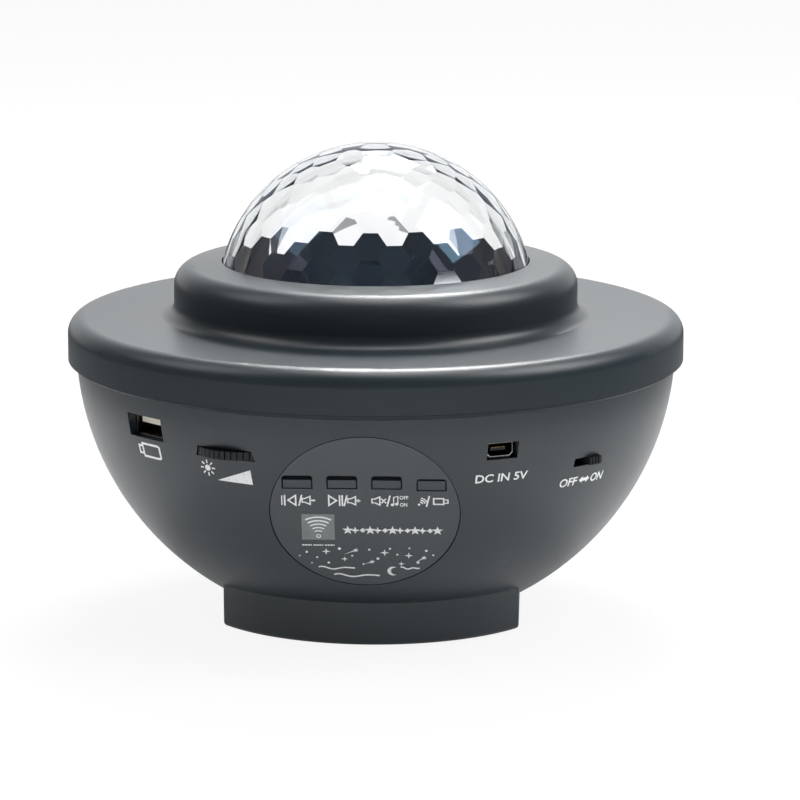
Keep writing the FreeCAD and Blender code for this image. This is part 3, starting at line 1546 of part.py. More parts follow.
def make_dial():
    """The body of the rotary control that the brightness wheel turns."""
    frame = side_frame(s.wheel_azimuth)
    low = dial_top - s.dial_shaft_length
    edge = centred(s.dial_width, s.dial_depth, 0, -wheel_out)
    top = slab(
        "dial_top", [edge, (0, -wheel_out, s.dial_shaft_radius + s.running_gap)], low, s.dial_shaft_length,
        "XY_Plane", frame,
    )
    floor = slab("dial_floor", [edge], dial_board_top, low - dial_board_top, "XY_Plane", frame)
    return union("brightness_dial", [top, floor])


def make_switch_body():
    """The slide switch's case, open in front for its slider."""
    frame = side_frame(s.switch_azimuth, s.switch_height)
    outer = centred(s.switch_body_width, s.switch_body_height)
    channel = centred(s.switch_body_width - 2, s.slider_height + s.key_gap * 2)
    depth = s.slider_depth + s.end_gap * 2
    back = slab(
        "switch_case_back", [outer], switch_back, s.switch_body_depth - depth, "XZ_Plane", frame
    )
    front = slab("switch_case_front", [outer, channel], switch_face - depth, depth, "XZ_Plane", frame)
    return union("power_switch_case", [back, front])


def make_power_knob():
    """The power slider: a block in the switch's case and a ribbed knob that stands out of the bowl."""
    body = new_body("power_knob", side_frame(s.switch_azimuth, s.switch_height))
    block_start = switch_face - s.slider_depth - s.end_gap
    slider = centred(s.slider_width, s.slider_height, knob_rest)
    pad(body, [slider], block_start, s.slider_depth, "XZ_Plane")
    knob_end = on_bowl_arc(s.switch_height, s.bowl_arc_radius) + s.knob_proud
    knob = centred(s.knob_width, s.knob_height, knob_rest)
    pad(body, [knob], block_start + s.slider_depth / 2, knob_end - block_start - s.slider_depth / 2, "XZ_Plane")
    rib_depth = s.knob_end_gap * 2
    ribs = [
        centred(s.knob_width / 8, s.knob_height, knob_rest + s.knob_width * step / 4) for step in (-1, 0, 1)
    ]
    for rib in ribs:
        pad(body, [rib], knob_end - rib_depth, rib_depth * 2, "XZ_Plane")
    return body


def make_switch_board():
    frame = side_frame(s.switch_azimuth, s.switch_height)
    holes = [(across, up, s.small_clear_radius) for across, up in SWITCH_BOSS_PLACES]
    edge = centred(s.switch_board_width, s.switch_board_height)
    return slab(
        "switch_board", [edge] + holes, switch_board_back, s.small_board_thickness, "XZ_Plane", frame
    )


# Control panel and keys

def key_outline(across, rise, inset, shortening):
    """A key or its window: a rectangle whose two upper corners are rounded."""
    half = (s.key_window_width - shortening / 2) / 2 - inset
    half_height = (s.key_window_height - shortening) / 2 - inset
    corner = s.key_corner
    return [
        (across - half, rise - half_height),
        (across + half, rise - half_height),
        (across + half, rise + half_height - corner, corner, 1),
        (across + half - corner, rise + half_height),
        (across - half + corner, rise + half_height, corner, 1),
        (across - half, rise + half_height - corner),
    ]


def key_shortening(count):
    return s.last_key_shortening if count == 3 else as_size(0)


def key_cap_outline(across, rise, count):
    """A key's cap, which fills the lower part of its window."""
    half = (s.key_window_width - key_shortening(count) / 2) / 2 - s.key_side_gap
    bottom = rise - (s.key_window_height - key_shortening(count)) / 2 + s.key_gap
    height = s.last_key_cap_height if count == 3 else s.key_cap_height
    return rectangle(across - half, bottom, across + half, bottom + height)


def make_control_panel():
    """The round flat panel, with a window for each key and one for the infrared receiver."""
    shapes = [(0, 0, s.panel_radius)]
    for count, (across, rise) in enumerate(KEY_PLACES):
        shapes.append(key_outline(across, rise, as_size(0), key_shortening(count)))
    side = s.window_side + s.running_gap * 2
    shapes.append(centred(side, side, s.window_across, s.window_rise))
    return slab("control_panel", shapes, panel_back, s.panel_thickness, "XY_Plane", panel_frame())


def make_infrared_window():
    shape = centred(s.window_side, s.window_side, s.window_across, s.window_rise)
    return slab("infrared_window", [shape], panel_back, s.panel_thickness, "XY_Plane", panel_frame())


def make_key(name, count):
    """A key: a cap in its window, a flange behind the panel and a stem that presses its switch."""
    across, rise = KEY_PLACES[count]
    body = new_body(name, panel_frame())
    cap = key_cap_outline(across, rise, count)
    reach = -s.key_set_back - flange_back - s.key_flange_depth / 2
    pad(body, [key_flange_outline(across, rise)], flange_back, s.key_flange_depth)
    pad(body, [cap], flange_back + s.key_flange_depth / 2, reach)
    pad(body, [(across, rise, s.key_stem_radius)], stem_end, s.key_stem_length + s.key_flange_depth / 2)
    return body


def make_key_switches():
    """The four small push switches under the keys."""
    made = []
    for count, (across, rise) in enumerate(KEY_PLACES, start=1):
        body = new_body(f"key_switch_{count}", panel_frame())
        case = centred(s.switch_body_side, s.switch_body_breadth, across, rise)
        pad(body, [case], key_board_front, s.switch_body_rise)
        length = s.plunger_length + s.switch_body_rise / 2
        pad(body, [(across, rise, s.plunger_radius)], plunger_tip - length, length)
        made.append(body)
    return group("key_switches", made)


def make_key_board():
    """The board behind the panel, with a tab down to the infrared receiver."""
    half_tab = s.receiver_width / 2 + 1
    tab_low = s.window_rise - s.receiver_height / 2 - 1
    edge = [
        (-s.key_board_half_width, s.key_board_bottom),
        (s.window_across - half_tab, s.key_board_bottom),
        (s.window_across - half_tab, tab_low),
        (s.window_across + half_tab, tab_low),
        (s.window_across + half_tab, s.key_board_bottom),
        (s.key_board_half_width, s.key_board_bottom),
        (s.key_board_half_width, s.key_board_top - s.key_board_corner),
        (s.key_board_half_width - s.key_board_corner, s.key_board_top),
        (-s.key_board_half_width + s.key_board_corner, s.key_board_top),
        (-s.key_board_half_width, s.key_board_top - s.key_board_corner),
    ]
    holes = [(across, rise, s.small_clear_radius) for across, rise in KEY_POST_PLACES]
    return slab("key_board", [edge] + holes, key_board_back, s.small_board_thickness, "XY_Plane", panel_frame())


def make_infrared_receiver():
    """The infrared receiver: a block on the key board that faces its window."""
    shape = centred(s.receiver_width, s.receiver_height, s.window_across, s.window_rise)
    depth = panel_back - s.end_gap - key_board_front
    return slab("infrared_receiver", [shape], key_board_front, depth, "XY_Plane", panel_frame())


# Screws of the small boards

def make_side_screws():
    """The screws of the stick, inlet and dial boards, all driven from above."""
    made = []
    for board in SIDE_BOARDS:
        made.append(screws(f"{board.name}_screw", board.post_spots, board.top, as_size(6), -1, True))
    return group("side_board_screws", made)


def make_panel_screws():
    """The screws that hold the key board to its two posts, driven from inside the bowl."""
    outline = [
        (0, -s.small_head_height),
        (s.small_head_radius, -s.small_head_height),
        (s.small_head_radius, 0),
        (s.small_screw_radius, 0),
        (s.small_screw_radius, pad_back - key_board_back),
        (0, pad_back - key_board_back),
    ]
    made = []
    for count, (across, rise) in enumerate(KEY_POST_PLACES, start=1):
        x, y, z = panel_spot(across, rise, key_board_back)
        frame = Frame(x, y, z, s.panel_tilt + 90, (1, 0, 0))
        made.append(turned(f"key_board_screw_{count}", outline, frame))
    return group("key_board_screws", made)


def make_switch_screws():
    """The screws that hold the switch board to its two bosses, driven from inside the bowl."""
    frame = side_frame(s.switch_azimuth, s.switch_height)
    made = []
    for count, (across, up) in enumerate(SWITCH_BOSS_PLACES, start=1):
        body = new_body(f"switch_screw_{count}", frame)
        head_start = switch_board_back - s.small_head_height
        pad(body, [(across, up, s.small_head_radius)], head_start, s.small_head_height, "XZ_Plane")
        pad(body, [(across, up, s.small_screw_radius)], head_start, s.small_head_height + 4, "XZ_Plane")
        made.append(body)
    return group("switch_board_screws", made)


PARTS = [
    make_bowl_housing(),
    make_top_cover(),
    make_dome_lens(),
    make_light_deck(),
    make_ripple_lens(),
    make_optics_plate(),
    make_ripple_disc(),
    make_grating_gear(),
    make_grating_film(),
    make_gear_pins(),
    make_pin_clips(),
    make_motor(),
    make_motor_shaft(),
    make_pinion(),
    make_laser_module(),
    make_lamp_board(),
    make_emitters(),
    make_reflector(),
    make_heat_sink(),
    make_bottom_cover(),
    make_rubber_feet(),
    make_speaker_basket(),
    make_speaker_magnet(),
    make_speaker_cone(),
    make_speaker_surround(),
    make_main_board(),
    make_board_components(),
    make_stick_shell(),
    make_stick_tongue(),
    STICK_BOARD.make(),
    make_inlet_shell(),
    make_inlet_tongue(),
    INLET_BOARD.make(),
    make_brightness_wheel(),
    make_dial(),
    DIAL_BOARD.make(),
    make_switch_body(),
    make_power_knob(),
    make_switch_board(),
    make_control_panel(),
    make_infrared_window(),
    make_key("previous_key", 0),
    make_key("play_key", 1),
    make_key("mute_key", 2),
    make_key("source_key", 3),
    make_key_switches(),
    make_key_board(),
    make_infrared_receiver(),
    screws("deck_screws", LID_BOSS_SPOTS, deck_bottom, as_size(9)),
    screws("post_screws", POST_SPOTS, deck_top, as_size(9), -1),
    screws("housing_screws", PILLAR_SPOTS, pillar_top - s.pillar_ledge, as_size(8)),
    make_cover_screws(),
    screws("main_board_screws", BOARD_SPOTS, s.main_board_height + s.board_thickness, as_size(8), -1),
    screws("heat_sink_screws", LAMP_EAR_SPOTS, sink_bottom, as_size(8)),
    screws("motor_screws", MOTOR_EAR_SPOTS, plate_bottom - s.motor_ear_thickness, as_size(3.6), 1, True),
    make_side_screws(),
    make_panel_screws(),
    make_switch_screws(),
]


def check_document():
    """Stops if any object failed, or if a sub-part's shape is missing or not valid."""
    for item in doc.Objects:
        if "Invalid" in item.State or "Error" in item.State:
            raise RuntimeError(f"{item.Label} failed: {item.State}")
    for part in PARTS:
        if part.Shape.isNull() or not part.Shape.isValid() or not part.Shape.Solids:
            raise RuntimeError(f"{part.Label} has no valid solid")


doc.recompute()
check_document()
os.makedirs("parts", exist_ok=True)
for part in PARTS:
    part.Shape.exportStep(f"parts/{part.Label}.step")
    box = part.Shape.BoundBox
    print(f"{part.Label:22s} solids {len(part.Shape.Solids)}  z {box.ZMin:.2f} to {box.ZMax:.2f}")
print(len(PARTS), "nodes")
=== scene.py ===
"""The looks of the star night light projector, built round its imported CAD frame.

Every length in this file is in millimetres of the real object, unless a docstring says metres. Blender's
metres come from the one factor MM.
"""

import logging
import math
from dataclasses import dataclass, field
from enum import Enum
from typing import Callable, Iterable, Sequence

import bmesh
import bpy
from mathutils import Matrix, Vector


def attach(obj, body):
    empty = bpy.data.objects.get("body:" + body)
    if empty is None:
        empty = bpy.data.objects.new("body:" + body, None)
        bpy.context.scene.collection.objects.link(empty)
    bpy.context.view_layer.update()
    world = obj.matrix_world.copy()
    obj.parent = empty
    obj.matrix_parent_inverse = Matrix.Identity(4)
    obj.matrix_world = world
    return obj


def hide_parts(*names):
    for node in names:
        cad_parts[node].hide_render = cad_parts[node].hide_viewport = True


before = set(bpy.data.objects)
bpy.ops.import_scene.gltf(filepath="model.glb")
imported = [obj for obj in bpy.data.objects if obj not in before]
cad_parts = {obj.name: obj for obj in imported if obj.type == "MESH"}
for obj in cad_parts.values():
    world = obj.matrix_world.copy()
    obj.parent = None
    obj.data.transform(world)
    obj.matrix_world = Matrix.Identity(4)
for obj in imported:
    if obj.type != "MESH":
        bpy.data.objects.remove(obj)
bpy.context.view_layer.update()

log = logging.getLogger("star_projector")

MM = 0.001
BASE = "base"
WHITE = (1.0, 1.0, 1.0, 1.0)
Point = tuple[float, float]
Surface = Callable[[float, float, float], Vector]
Tree = bpy.types.NodeTree
Node = bpy.types.Node
Socket = bpy.types.NodeSocket
Piece = bpy.types.Object
Material = bpy.types.Material
Mesh = bpy.types.Mesh


# Small helpers


def linear(colour: str, alpha: float = 1.0) -> tuple[float, float, float, float]:
    """Turns an sRGB hex colour into Blender's linear colour.

    Args:
        colour: Six hex digits with a leading #.
        alpha: The fourth value.

    Returns:
        Linear red, green and blue, and alpha.
    """
    parts = [int(colour[place : place + 2], 16) / 255 for place in (1, 3, 5)]
    red, green, blue = (c / 12.92 if c <= 0.04045 else ((c + 0.055) / 1.055) ** 2.4 for c in parts)
    return red, green, blue, alpha


def shade(colour: str, factor: float) -> tuple[float, float, float, float]:
    """Returns a hex colour in linear light, made lighter or darker by a factor."""
    red, green, blue, alpha = linear(colour)
    return min(red * factor, 1.0), min(green * factor, 1.0), min(blue * factor, 1.0), alpha


def add_node(tree: Tree, kind: str, inputs: dict | None = None, **settings: object) -> Node:
    """Adds a node to a tree with its settings, values and links.

    Args:
        tree: The node tree.
        kind: Blender's name for the node.
        inputs: Socket names or places, with a value or the output socket that feeds it.
        settings: The node's own properties.

    Returns:
        The new node.
    """
    node = tree.nodes.new(kind)
    for name, value in settings.items():
        setattr(node, name, value)
    for key, value in (inputs or {}).items():
        socket = node.inputs[key]
        if isinstance(value, Socket):
            tree.links.new(value, socket)
        else:
            socket.default_value = value
    return node


def mesh_object(name: str, mesh: Mesh) -> Piece:
    """Puts a mesh in the scene as an object at the origin.

    Args:
        name: The piece's name.
        mesh: Its mesh, in metres.

    Returns:
        The new object.
    """
    thing = bpy.data.objects.new(name, mesh)
    bpy.context.scene.collection.objects.link(thing)
    return thing


def object_from(name: str, build: bmesh.types.BMesh, material: Material, smooth: bool = False) -> Piece:
    """Finishes a bmesh as an object at the origin with one material.

    Args:
        name: The piece's name.
        build: The mesh under construction, in metres. It is freed.
        material: The piece's material.
        smooth: Whether the faces are shaded smooth.

    Returns:
        The new object.
    """
    mesh = bpy.data.meshes.new(name)
    build.to_mesh(mesh)
    build.free()
    mesh.materials.append(material)
    mesh.polygons.foreach_set("use_smooth", [smooth] * len(mesh.polygons))
    return mesh_object(name, mesh)


def finish_piece(thing: Piece, body: str, replaced: Sequence[str] = ()) -> Piece:
    """Hands a finished piece to the frame.

    Args:
        thing: The piece.
        body: The CAD body that it moves with.
        replaced: The CAD nodes that it stands for.

    Returns:
        The same piece.
    """
    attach(thing, body)
    if replaced:
        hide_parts(*replaced)
    log.info("piece %s: %d faces, on %s", thing.name, len(thing.data.polygons), body)
    return thing


def dress(nodes: Iterable[str], material: Material) -> None:
    """Gives CAD nodes a material.

    Args:
        nodes: The CAD nodes' names.
        material: Their material.
    """
    for name in nodes:
        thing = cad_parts[name]
        if thing.material_slots:
            for place in thing.material_slots:
                place.material = material
        else:
            thing.data.materials.append(material)
        log.info("node %s: %s", name, material.name)


# Finishes


@dataclass(frozen=True)
class Finish:
    """What every finish has: a name, a colour and how it takes light."""

    name: str
    colour: str
    roughness: float = 0.45
    ior: float = 1.5
    mottle: float = 0.06  # how far the tone drifts over the surface
    mottle_size: float = 18.0  # mm across one patch of tone
    grain: float = 0.02  # mm high
    grain_size: float = 0.6  # mm across one grain

    def material(self) -> Material:
        """Makes the finish's material the first time it is asked for.

        Returns:
            The material.
        """
        made = bpy.data.materials.get(self.name)
        if made:
            return made
        made = bpy.data.materials.new(self.name)
        made.use_nodes = True
        tree = made.node_tree
        tree.nodes.clear()
        shader = add_node(tree, "ShaderNodeBsdfPrincipled")
        add_node(tree, "ShaderNodeOutputMaterial", {"Surface": shader.outputs["BSDF"]})
        place = add_node(tree, "ShaderNodeTexCoord").outputs["Object"]
        shader.inputs["IOR"].default_value = self.ior
        self.fill(tree, shader, place)
        made.diffuse_color = linear(self.colour)
        return made

    def fill(self, tree: Tree, shader: Node, place: Socket) -> None:
        """Adds the colour, roughness and relief, which each kind of finish does its own way.

        Args:
            tree: The material's node tree.
            shader: Its Principled shader.
            place: The coordinates on the object, in metres.
        """
        raise NotImplementedError(self.name)

    def noise(self, tree: Tree, place: Socket, size: float, detail: float) -> Socket:
        """Adds a noise whose patches are a real size across.

        Args:
            tree: The material's node tree.
            place: The coordinates, in metres.
            size: Millimetres across one patch.
            detail: The noise's finer steps.

        Returns:
            The noise's value.
        """
        inputs = {"Vector": place, "Scale": 1 / (size * MM), "Detail": detail, "Roughness": 0.55}
        return add_node(tree, "ShaderNodeTexNoise", inputs).outputs["Fac"]

    def link_colour(self, tree: Tree, shader: Node, factor: Socket, darker: float, lighter: float) -> None:
        """Runs the base colour between a darker and a lighter tone of the finish's own.

        Args:
            tree: The material's node tree.
            shader: Its Principled shader.
            factor: What chooses the tone, from 0 to 1.
            darker: The dark tone, as a factor on the colour.
            lighter: The light tone, as a factor on the colour.
        """
        ramp = add_node(tree, "ShaderNodeValToRGB", {"Fac": factor})
        low, high = ramp.color_ramp.elements
        low.position, high.position = 0.3, 0.7
        low.color, high.color = shade(self.colour, darker), shade(self.colour, lighter)
        tree.links.new(ramp.outputs["Color"], shader.inputs["Base Color"])

    def link_mottle(self, tree: Tree, shader: Node, factor: Socket) -> None:
        """Runs the base colour through the finish's usual drift of tone."""
        self.link_colour(tree, shader, factor, 1 - self.mottle, 1 + self.mottle)

    def link_roughness(self, tree: Tree, shader: Node, factor: Socket, least: float, most: float) -> None:
        """Runs the roughness between two shares of the finish's own.

        Args:
            tree: The material's node tree.
            shader: Its Principled shader.
            factor: What chooses the roughness, from 0 to 1.
            least: The lowest, as a factor on the roughness.
            most: The highest, as a factor on the roughness.
        """
        ends = {"To Min": self.roughness * least, "To Max": self.roughness * most}
        spread = add_node(tree, "ShaderNodeMapRange", {"Value": factor, **ends})
        tree.links.new(spread.outputs["Result"], shader.inputs["Roughness"])

    def link_bump(self, tree: Tree, shader: Node, height: Socket, rise: float,
                  before: Socket | None = None) -> Socket:
        """Turns a height into a bump.

        Args:
            tree: The material's node tree.
            shader: Its Principled shader.
            height: The height, from 0 to 1.
            rise: Millimetres from the lowest to the highest point.
            before: A normal that the bump adds to.

        Returns:
            The bumped normal.
        """
        inputs = {"Height": height, "Distance": rise * MM, "Strength": 1.0}
        if before:
            inputs["Normal"] = before
        normal = add_node(tree, "ShaderNodeBump", inputs).outputs["Normal"]
        tree.links.new(normal, shader.inputs["Normal"])
        return normal


@dataclass(frozen=True)
class MouldedPlastic(Finish):
    """Injection-moulded plastic from a spark-eroded tool: a fine even grain that spreads the highlight."""

    worn: float = 0.0  # how much smoother the rubbed patches are
    rubbed_spread: float = 1.7  # a rubbed patch against a patch of tone
    fine_size: float = 0.45  # the fine grain's width against the coarse grain's
    fine_height: float = 0.5  # and its height against it

    def fill(self, tree: Tree, shader: Node, place: Socket) -> None:
        """Adds two sizes of grain, a slow drift of tone, and patches that handling has smoothed.

        Args:
            tree: The material's node tree.
            shader: Its Principled shader.
            place: The coordinates on the object, in metres.
        """
        self.link_mottle(tree, shader, self.noise(tree, place, self.mottle_size, 3.0))
        rubbed = self.noise(tree, place, self.mottle_size * self.rubbed_spread, 5.0)
        self.link_roughness(tree, shader, rubbed, 1.04 - self.worn, 1.05)
        # A spark-eroded grain is about 0.1 mm, too fine to show, so it is drawn about five times as coarse
        coarse = self.noise(tree, place, self.grain_size, 1.0)
        fine = self.noise(tree, place, self.grain_size * self.fine_size, 1.0)
        normal = self.link_bump(tree, shader, coarse, self.grain)
        self.link_bump(tree, shader, fine, self.grain * self.fine_height, normal)


@dataclass(frozen=True)
class ClearPlastic(Finish):
    """Clear acrylic, moulded in a polished tool: sharp reflections, and the backdrop seen through it."""

    ripple: float = 0.0  # mm high
    ripple_size: float = 2.6  # mm from crest to crest
    ripple_jitter: float = 0.8  # how unevenly the crests lie
    film: float = 0.0  # nm, a thin skin that gives faint colours
    film_ior: float = 1.36

    def fill(self, tree: Tree, shader: Node, place: Socket) -> None:
        """Makes the plastic clear, with faint flow marks and, on the lenses, a rippled face.

        Args:
            tree: The material's node tree.
            shader: Its Principled shader.
            place: The coordinates on the object, in metres.
        """
        shader.inputs["Base Color"].default_value = linear(self.colour)
        shader.inputs["Transmission Weight"].default_value = 1.0
        shader.inputs["Thin Film Thickness"].default_value = self.film
        shader.inputs["Thin Film IOR"].default_value = self.film_ior
        flow = self.noise(tree, place, self.mottle_size, 2.0)
        self.link_roughness(tree, shader, flow, 1.0, 1.6)
        normal = self.link_bump(tree, shader, flow, self.grain)
        if self.ripple:
            crests = {"Vector": place, "Scale": 1 / (self.ripple_size * MM), "Randomness": self.ripple_jitter}
            cells = add_node(tree, "ShaderNodeTexVoronoi", crests, feature="SMOOTH_F1")
            self.link_bump(tree, shader, cells.outputs["Distance"], self.ripple, normal)


class MetalMark(Enum):
    """What made a metal's surface."""

    ROLLED = (0.12, 1.0, 1.0)  # fine streaks along X
    TURNED = (0.6, 0.6, 0.05)  # rings, which lie level round an upright axis
    PLATED = (1.4, 1.4, 1.4)  # a soft orange peel
    CAST = (0.9, 0.9, 0.9)  # a sandy skin


@dataclass(frozen=True)
class BareMetal(Finish):
    """Metal with the marks of how it was made, which stretch the highlight across them."""

    mark: MetalMark = MetalMark.PLATED

    def fill(self, tree: Tree, shader: Node, place: Socket) -> None:
        """Adds the metal's colour, its marks and a slight dulling in patches.

        Args:
            tree: The material's node tree.
            shader: Its Principled shader.
            place: The coordinates on the object, in metres.
        """
        shader.inputs["Metallic"].default_value = 1.0
        streaks = add_node(tree, "ShaderNodeMapping", {"Vector": place, "Scale": self.mark.value})
        mark = self.noise(tree, streaks.outputs["Vector"], self.grain_size, 4.0)
        self.link_mottle(tree, shader, self.noise(tree, place, self.mottle_size, 3.0))
        self.link_roughness(tree, shader, mark, 0.75, 1.25)
        self.link_bump(tree, shader, mark, self.grain)


@dataclass(frozen=True)
class PrintedInk(Finish):
    """Pad-printed ink: flat and matte, with pinholes where the grain below breaks through."""

    pinhole_size: float = 0.35
    pinhole_tone: float = 0.6

    def fill(self, tree: Tree, shader: Node, place: Socket) -> None:
        """Adds the ink's colour with its pinholes.

        Args:
            tree: The material's node tree.
            shader: Its Principled shader.
            place: The coordinates on the object, in metres.
        """
        pinholes = self.noise(tree, place, self.pinhole_size, 1.0)
        ramp = add_node(tree, "ShaderNodeValToRGB", {"Fac": pinholes})
        hole, ink = ramp.color_ramp.elements
        hole.position, ink.position = 0.28, 0.4
        hole.color, ink.color = shade(self.colour, self.pinhole_tone), linear(self.colour)
        tree.links.new(ramp.outputs["Color"], shader.inputs["Base Color"])
        self.link_roughness(tree, shader, pinholes, 1.0, 1.1)
        self.link_bump(tree, shader, pinholes, self.grain)


@dataclass(frozen=True)
class CircuitBoardLacquer(Finish):
    """Glass-fibre board under solder lacquer: paler tracks show through, and it is glossy."""

    track_pitch: float = 1.6
    track_height: float = 0.03
    weave_size: float = 0.8

    def fill(self, tree: Tree, shader: Node, place: Socket) -> None:
        """Adds the tracks as long bricks whose joints are the gaps between copper.

        Args:
            tree: The material's node tree.
            shader: Its Principled shader.
            place: The coordinates on the object, in metres.
        """
        weave = self.noise(tree, place, self.weave_size, 2.0)
        tracks = add_node(tree, "ShaderNodeTexBrick", {
            "Vector": place,
            "Color1": shade(self.colour, 1.25),
            "Color2": shade(self.colour, 1.0),
            "Mortar": shade(self.colour, 0.62),
            "Scale": 1 / (self.track_pitch * 4 * MM),
            "Mortar Size": 0.03,
            "Brick Width": 2.4,
            "Row Height": 0.25,
        })
        tree.links.new(tracks.outputs["Color"], shader.inputs["Base Color"])
        self.link_roughness(tree, shader, weave, 0.9, 1.2)
        normal = self.link_bump(tree, shader, tracks.outputs["Fac"], self.track_height)
        self.link_bump(tree, shader, weave, self.grain, normal)


@dataclass(frozen=True)
class GlowPhosphor(Finish):
    """A light emitter, switched off: yellow phosphor under a clear domed coat."""

    spot_size: float = 0.5
    coat: float = 0.8
    coat_roughness: float = 0.05

    def fill(self, tree: Tree, shader: Node, place: Socket) -> None:
        """Adds the phosphor's colour, spotted, under a glossy coat.

        Args:
            tree: The material's node tree.
            shader: Its Principled shader.
            place: The coordinates on the object, in metres.
        """
        spots = add_node(tree, "ShaderNodeTexVoronoi", {"Vector": place, "Scale": 1 / (self.spot_size * MM)})
        self.link_colour(tree, shader, spots.outputs["Distance"], 0.9, 1.1)
        shader.inputs["Roughness"].default_value = self.roughness
        shader.inputs["Coat Weight"].default_value = self.coat
        shader.inputs["Coat Roughness"].default_value = self.coat_roughness
        self.link_bump(tree, shader, spots.outputs["Distance"], self.grain)


@dataclass(frozen=True)
class PressedFibre(Finish):
    """A paper speaker cone: felted fibres under a thin lacquer."""

    fibre_size: float = 0.9

    def fill(self, tree: Tree, shader: Node, place: Socket) -> None:
        """Adds the fibres as a stretched, warped noise.

        Args:
            tree: The material's node tree.
            shader: Its Principled shader.
            place: The coordinates on the object, in metres.
        """
        felt = {"Vector": place, "Scale": 1 / (self.fibre_size * MM), "Detail": 6.0, "Roughness": 0.7,
                "Distortion": 2.5}
        fibres = add_node(tree, "ShaderNodeTexNoise", felt).outputs["Fac"]
        self.link_colour(tree, shader, fibres, 0.75, 1.3)
        self.link_roughness(tree, shader, fibres, 0.85, 1.15)
        self.link_bump(tree, shader, fibres, self.grain)


# The big shell: matte charcoal ABS with a cool cast
CHARCOAL_ABS = MouldedPlastic("charcoal_moulded_abs", "#1b282f", 0.37, 1.6, 0.05, 26.0, 0.02, 0.5, 0.04)
# The flat front disc is the same ABS from a slightly smoother tool
PANEL_ABS = MouldedPlastic("panel_moulded_abs", "#40474c", 0.42, 1.56, 0.04, 20.0, 0.01, 0.5)
# Keys and controls
KEY_ABS = MouldedPlastic("key_moulded_abs", "#3a4146", 0.4, 1.53, 0.04, 6.0, 0.01, 0.45)
# The wheel and the sliding knob: their own dark grey, deepened with painted shade for the shadow in the
# wheel's slot
WHEEL_ABS_PAINTED_SHADE = MouldedPlastic("wheel_moulded_abs_painted_shade", "#12171a", 0.5, 1.53, 0.04, 6.0, 0.01, 0.45)
# Inner plates: black ABS
BLACK_ABS = MouldedPlastic("black_moulded_abs", "#17191b", 0.4, 1.53, 0.06, 14.0, 0.014, 0.5)
# The deck under the dome comes from a polished tool
DECK_ABS = MouldedPlastic("polished_black_abs", "#14181b", 0.22, 1.53, 0.06, 14.0, 0.012, 1.6)
NATURAL_NYLON = MouldedPlastic("natural_moulded_nylon", "#dcdcd2", 0.38, 1.53, 0.03, 5.0, 0.006, 0.5)
# The stick socket's tongue: its own cream, lifted near white as painted light so that it shows bright in the
# dim socket
CREAM_NYLON_PAINTED_LIGHT = MouldedPlastic("cream_glass_filled_nylon_painted_light", "#f4eedc", 0.5, 1.53, 0.03, 3.0, 0.008, 0.3)
CHIP_EPOXY = MouldedPlastic("black_moulded_epoxy", "#17181a", 0.55, 1.55, 0.08, 4.0, 0.02, 0.3)
SOFT_RUBBER = MouldedPlastic("soft_moulded_rubber", "#141416", 0.8, 1.52, 0.08, 4.0, 0.03, 0.4)
FACETED_ACRYLIC = ClearPlastic(
    "clear_faceted_acrylic", "#fbfdff", 0.012, 1.49, grain=0.001, mottle_size=7.0, film=170.0)
RIPPLED_ACRYLIC = ClearPlastic(
    "clear_rippled_acrylic", "#f4f8fc", 0.03, 1.49, grain=0.01, mottle_size=4.0, ripple=0.5)
GRATING_SHEET = ClearPlastic(
    "clear_grating_film", "#eef4fa", 0.06, 1.57, grain=0.004, mottle_size=6.0, ripple=0.02, ripple_size=0.4,
    film=420.0)
# The window in front of the receiver lets infrared through and looks pale and speckled
PALE_POLYCARBONATE = MouldedPlastic(
    "pale_moulded_polycarbonate", "#7d8384", 0.3, 1.58, 0.12, 1.2, 0.02, 0.35)
PALE_INK = PrintedInk("pale_pad_printed_ink", "#f4f6f7", 0.5, grain=0.006)
ZINC_STEEL = BareMetal(
    "zinc_plated_steel", "#b9bcbf", 0.28, grain=0.004, grain_size=0.5, mark=MetalMark.TURNED)
GROUND_STEEL = BareMetal(
    "ground_steel", "#c2c4c6", 0.22, grain=0.003, grain_size=0.4, mark=MetalMark.TURNED)
MOTOR_STEEL = BareMetal(
    "drawn_nickel_plated_steel", "#b6b8b8", 0.3, grain=0.004, grain_size=0.6, mark=MetalMark.ROLLED)
NICKEL_SHEET = BareMetal(
    "stamped_nickel_plated_steel", "#d2d1cc", 0.24, grain=0.004, grain_size=0.4, mark=MetalMark.ROLLED)
# Inside the sockets the nickel is painted much darker than its plating, as painted shade for the dim hollow
SHADED_NICKEL = BareMetal(
    "nickel_plated_steel_painted_shade", "#5a5955", 0.4, grain=0.004, grain_size=0.4, mark=MetalMark.ROLLED)
TURNED_BRASS = BareMetal(
    "turned_brass", "#d0a860", 0.26, grain=0.006, grain_size=0.5, mark=MetalMark.TURNED)
GOLD_FLASH = BareMetal("gold_flashed_bronze", "#e0bd6a", 0.2, grain=0.002, grain_size=0.3)
BRIGHT_REFLECTOR = BareMetal("vacuum_metallised_reflector", "#dfe2e6", 0.08, grain=0.002, grain_size=1.2)
EXTRUDED_ALUMINIUM = BareMetal(
    "extruded_aluminium", "#c4c7ca", 0.34, grain=0.008, grain_size=0.5, mark=MetalMark.ROLLED)
FERRITE_MAGNET = BareMetal(
    "sintered_ferrite_and_steel", "#55575a", 0.5, grain=0.02, grain_size=0.5, mark=MetalMark.CAST)
GREEN_LACQUER = CircuitBoardLacquer("green_lacquered_glass_fibre", "#1c5a34", 0.3, 1.52, grain=0.008)
# The small boards behind the sockets and controls have black lacquer, so that no light shows round them
BLACK_LACQUER = CircuitBoardLacquer("black_lacquered_glass_fibre", "#121413", 0.35, 1.52, grain=0.008)
YELLOW_PHOSPHOR = GlowPhosphor("phosphor_under_clear_silicone", "#e6d77a", 0.4, 1.45, grain=0.02)
CONE_PAPER = PressedFibre("lacquered_pressed_paper", "#2a2a2c", 0.75, 1.45, grain=0.05)


# Printed marks


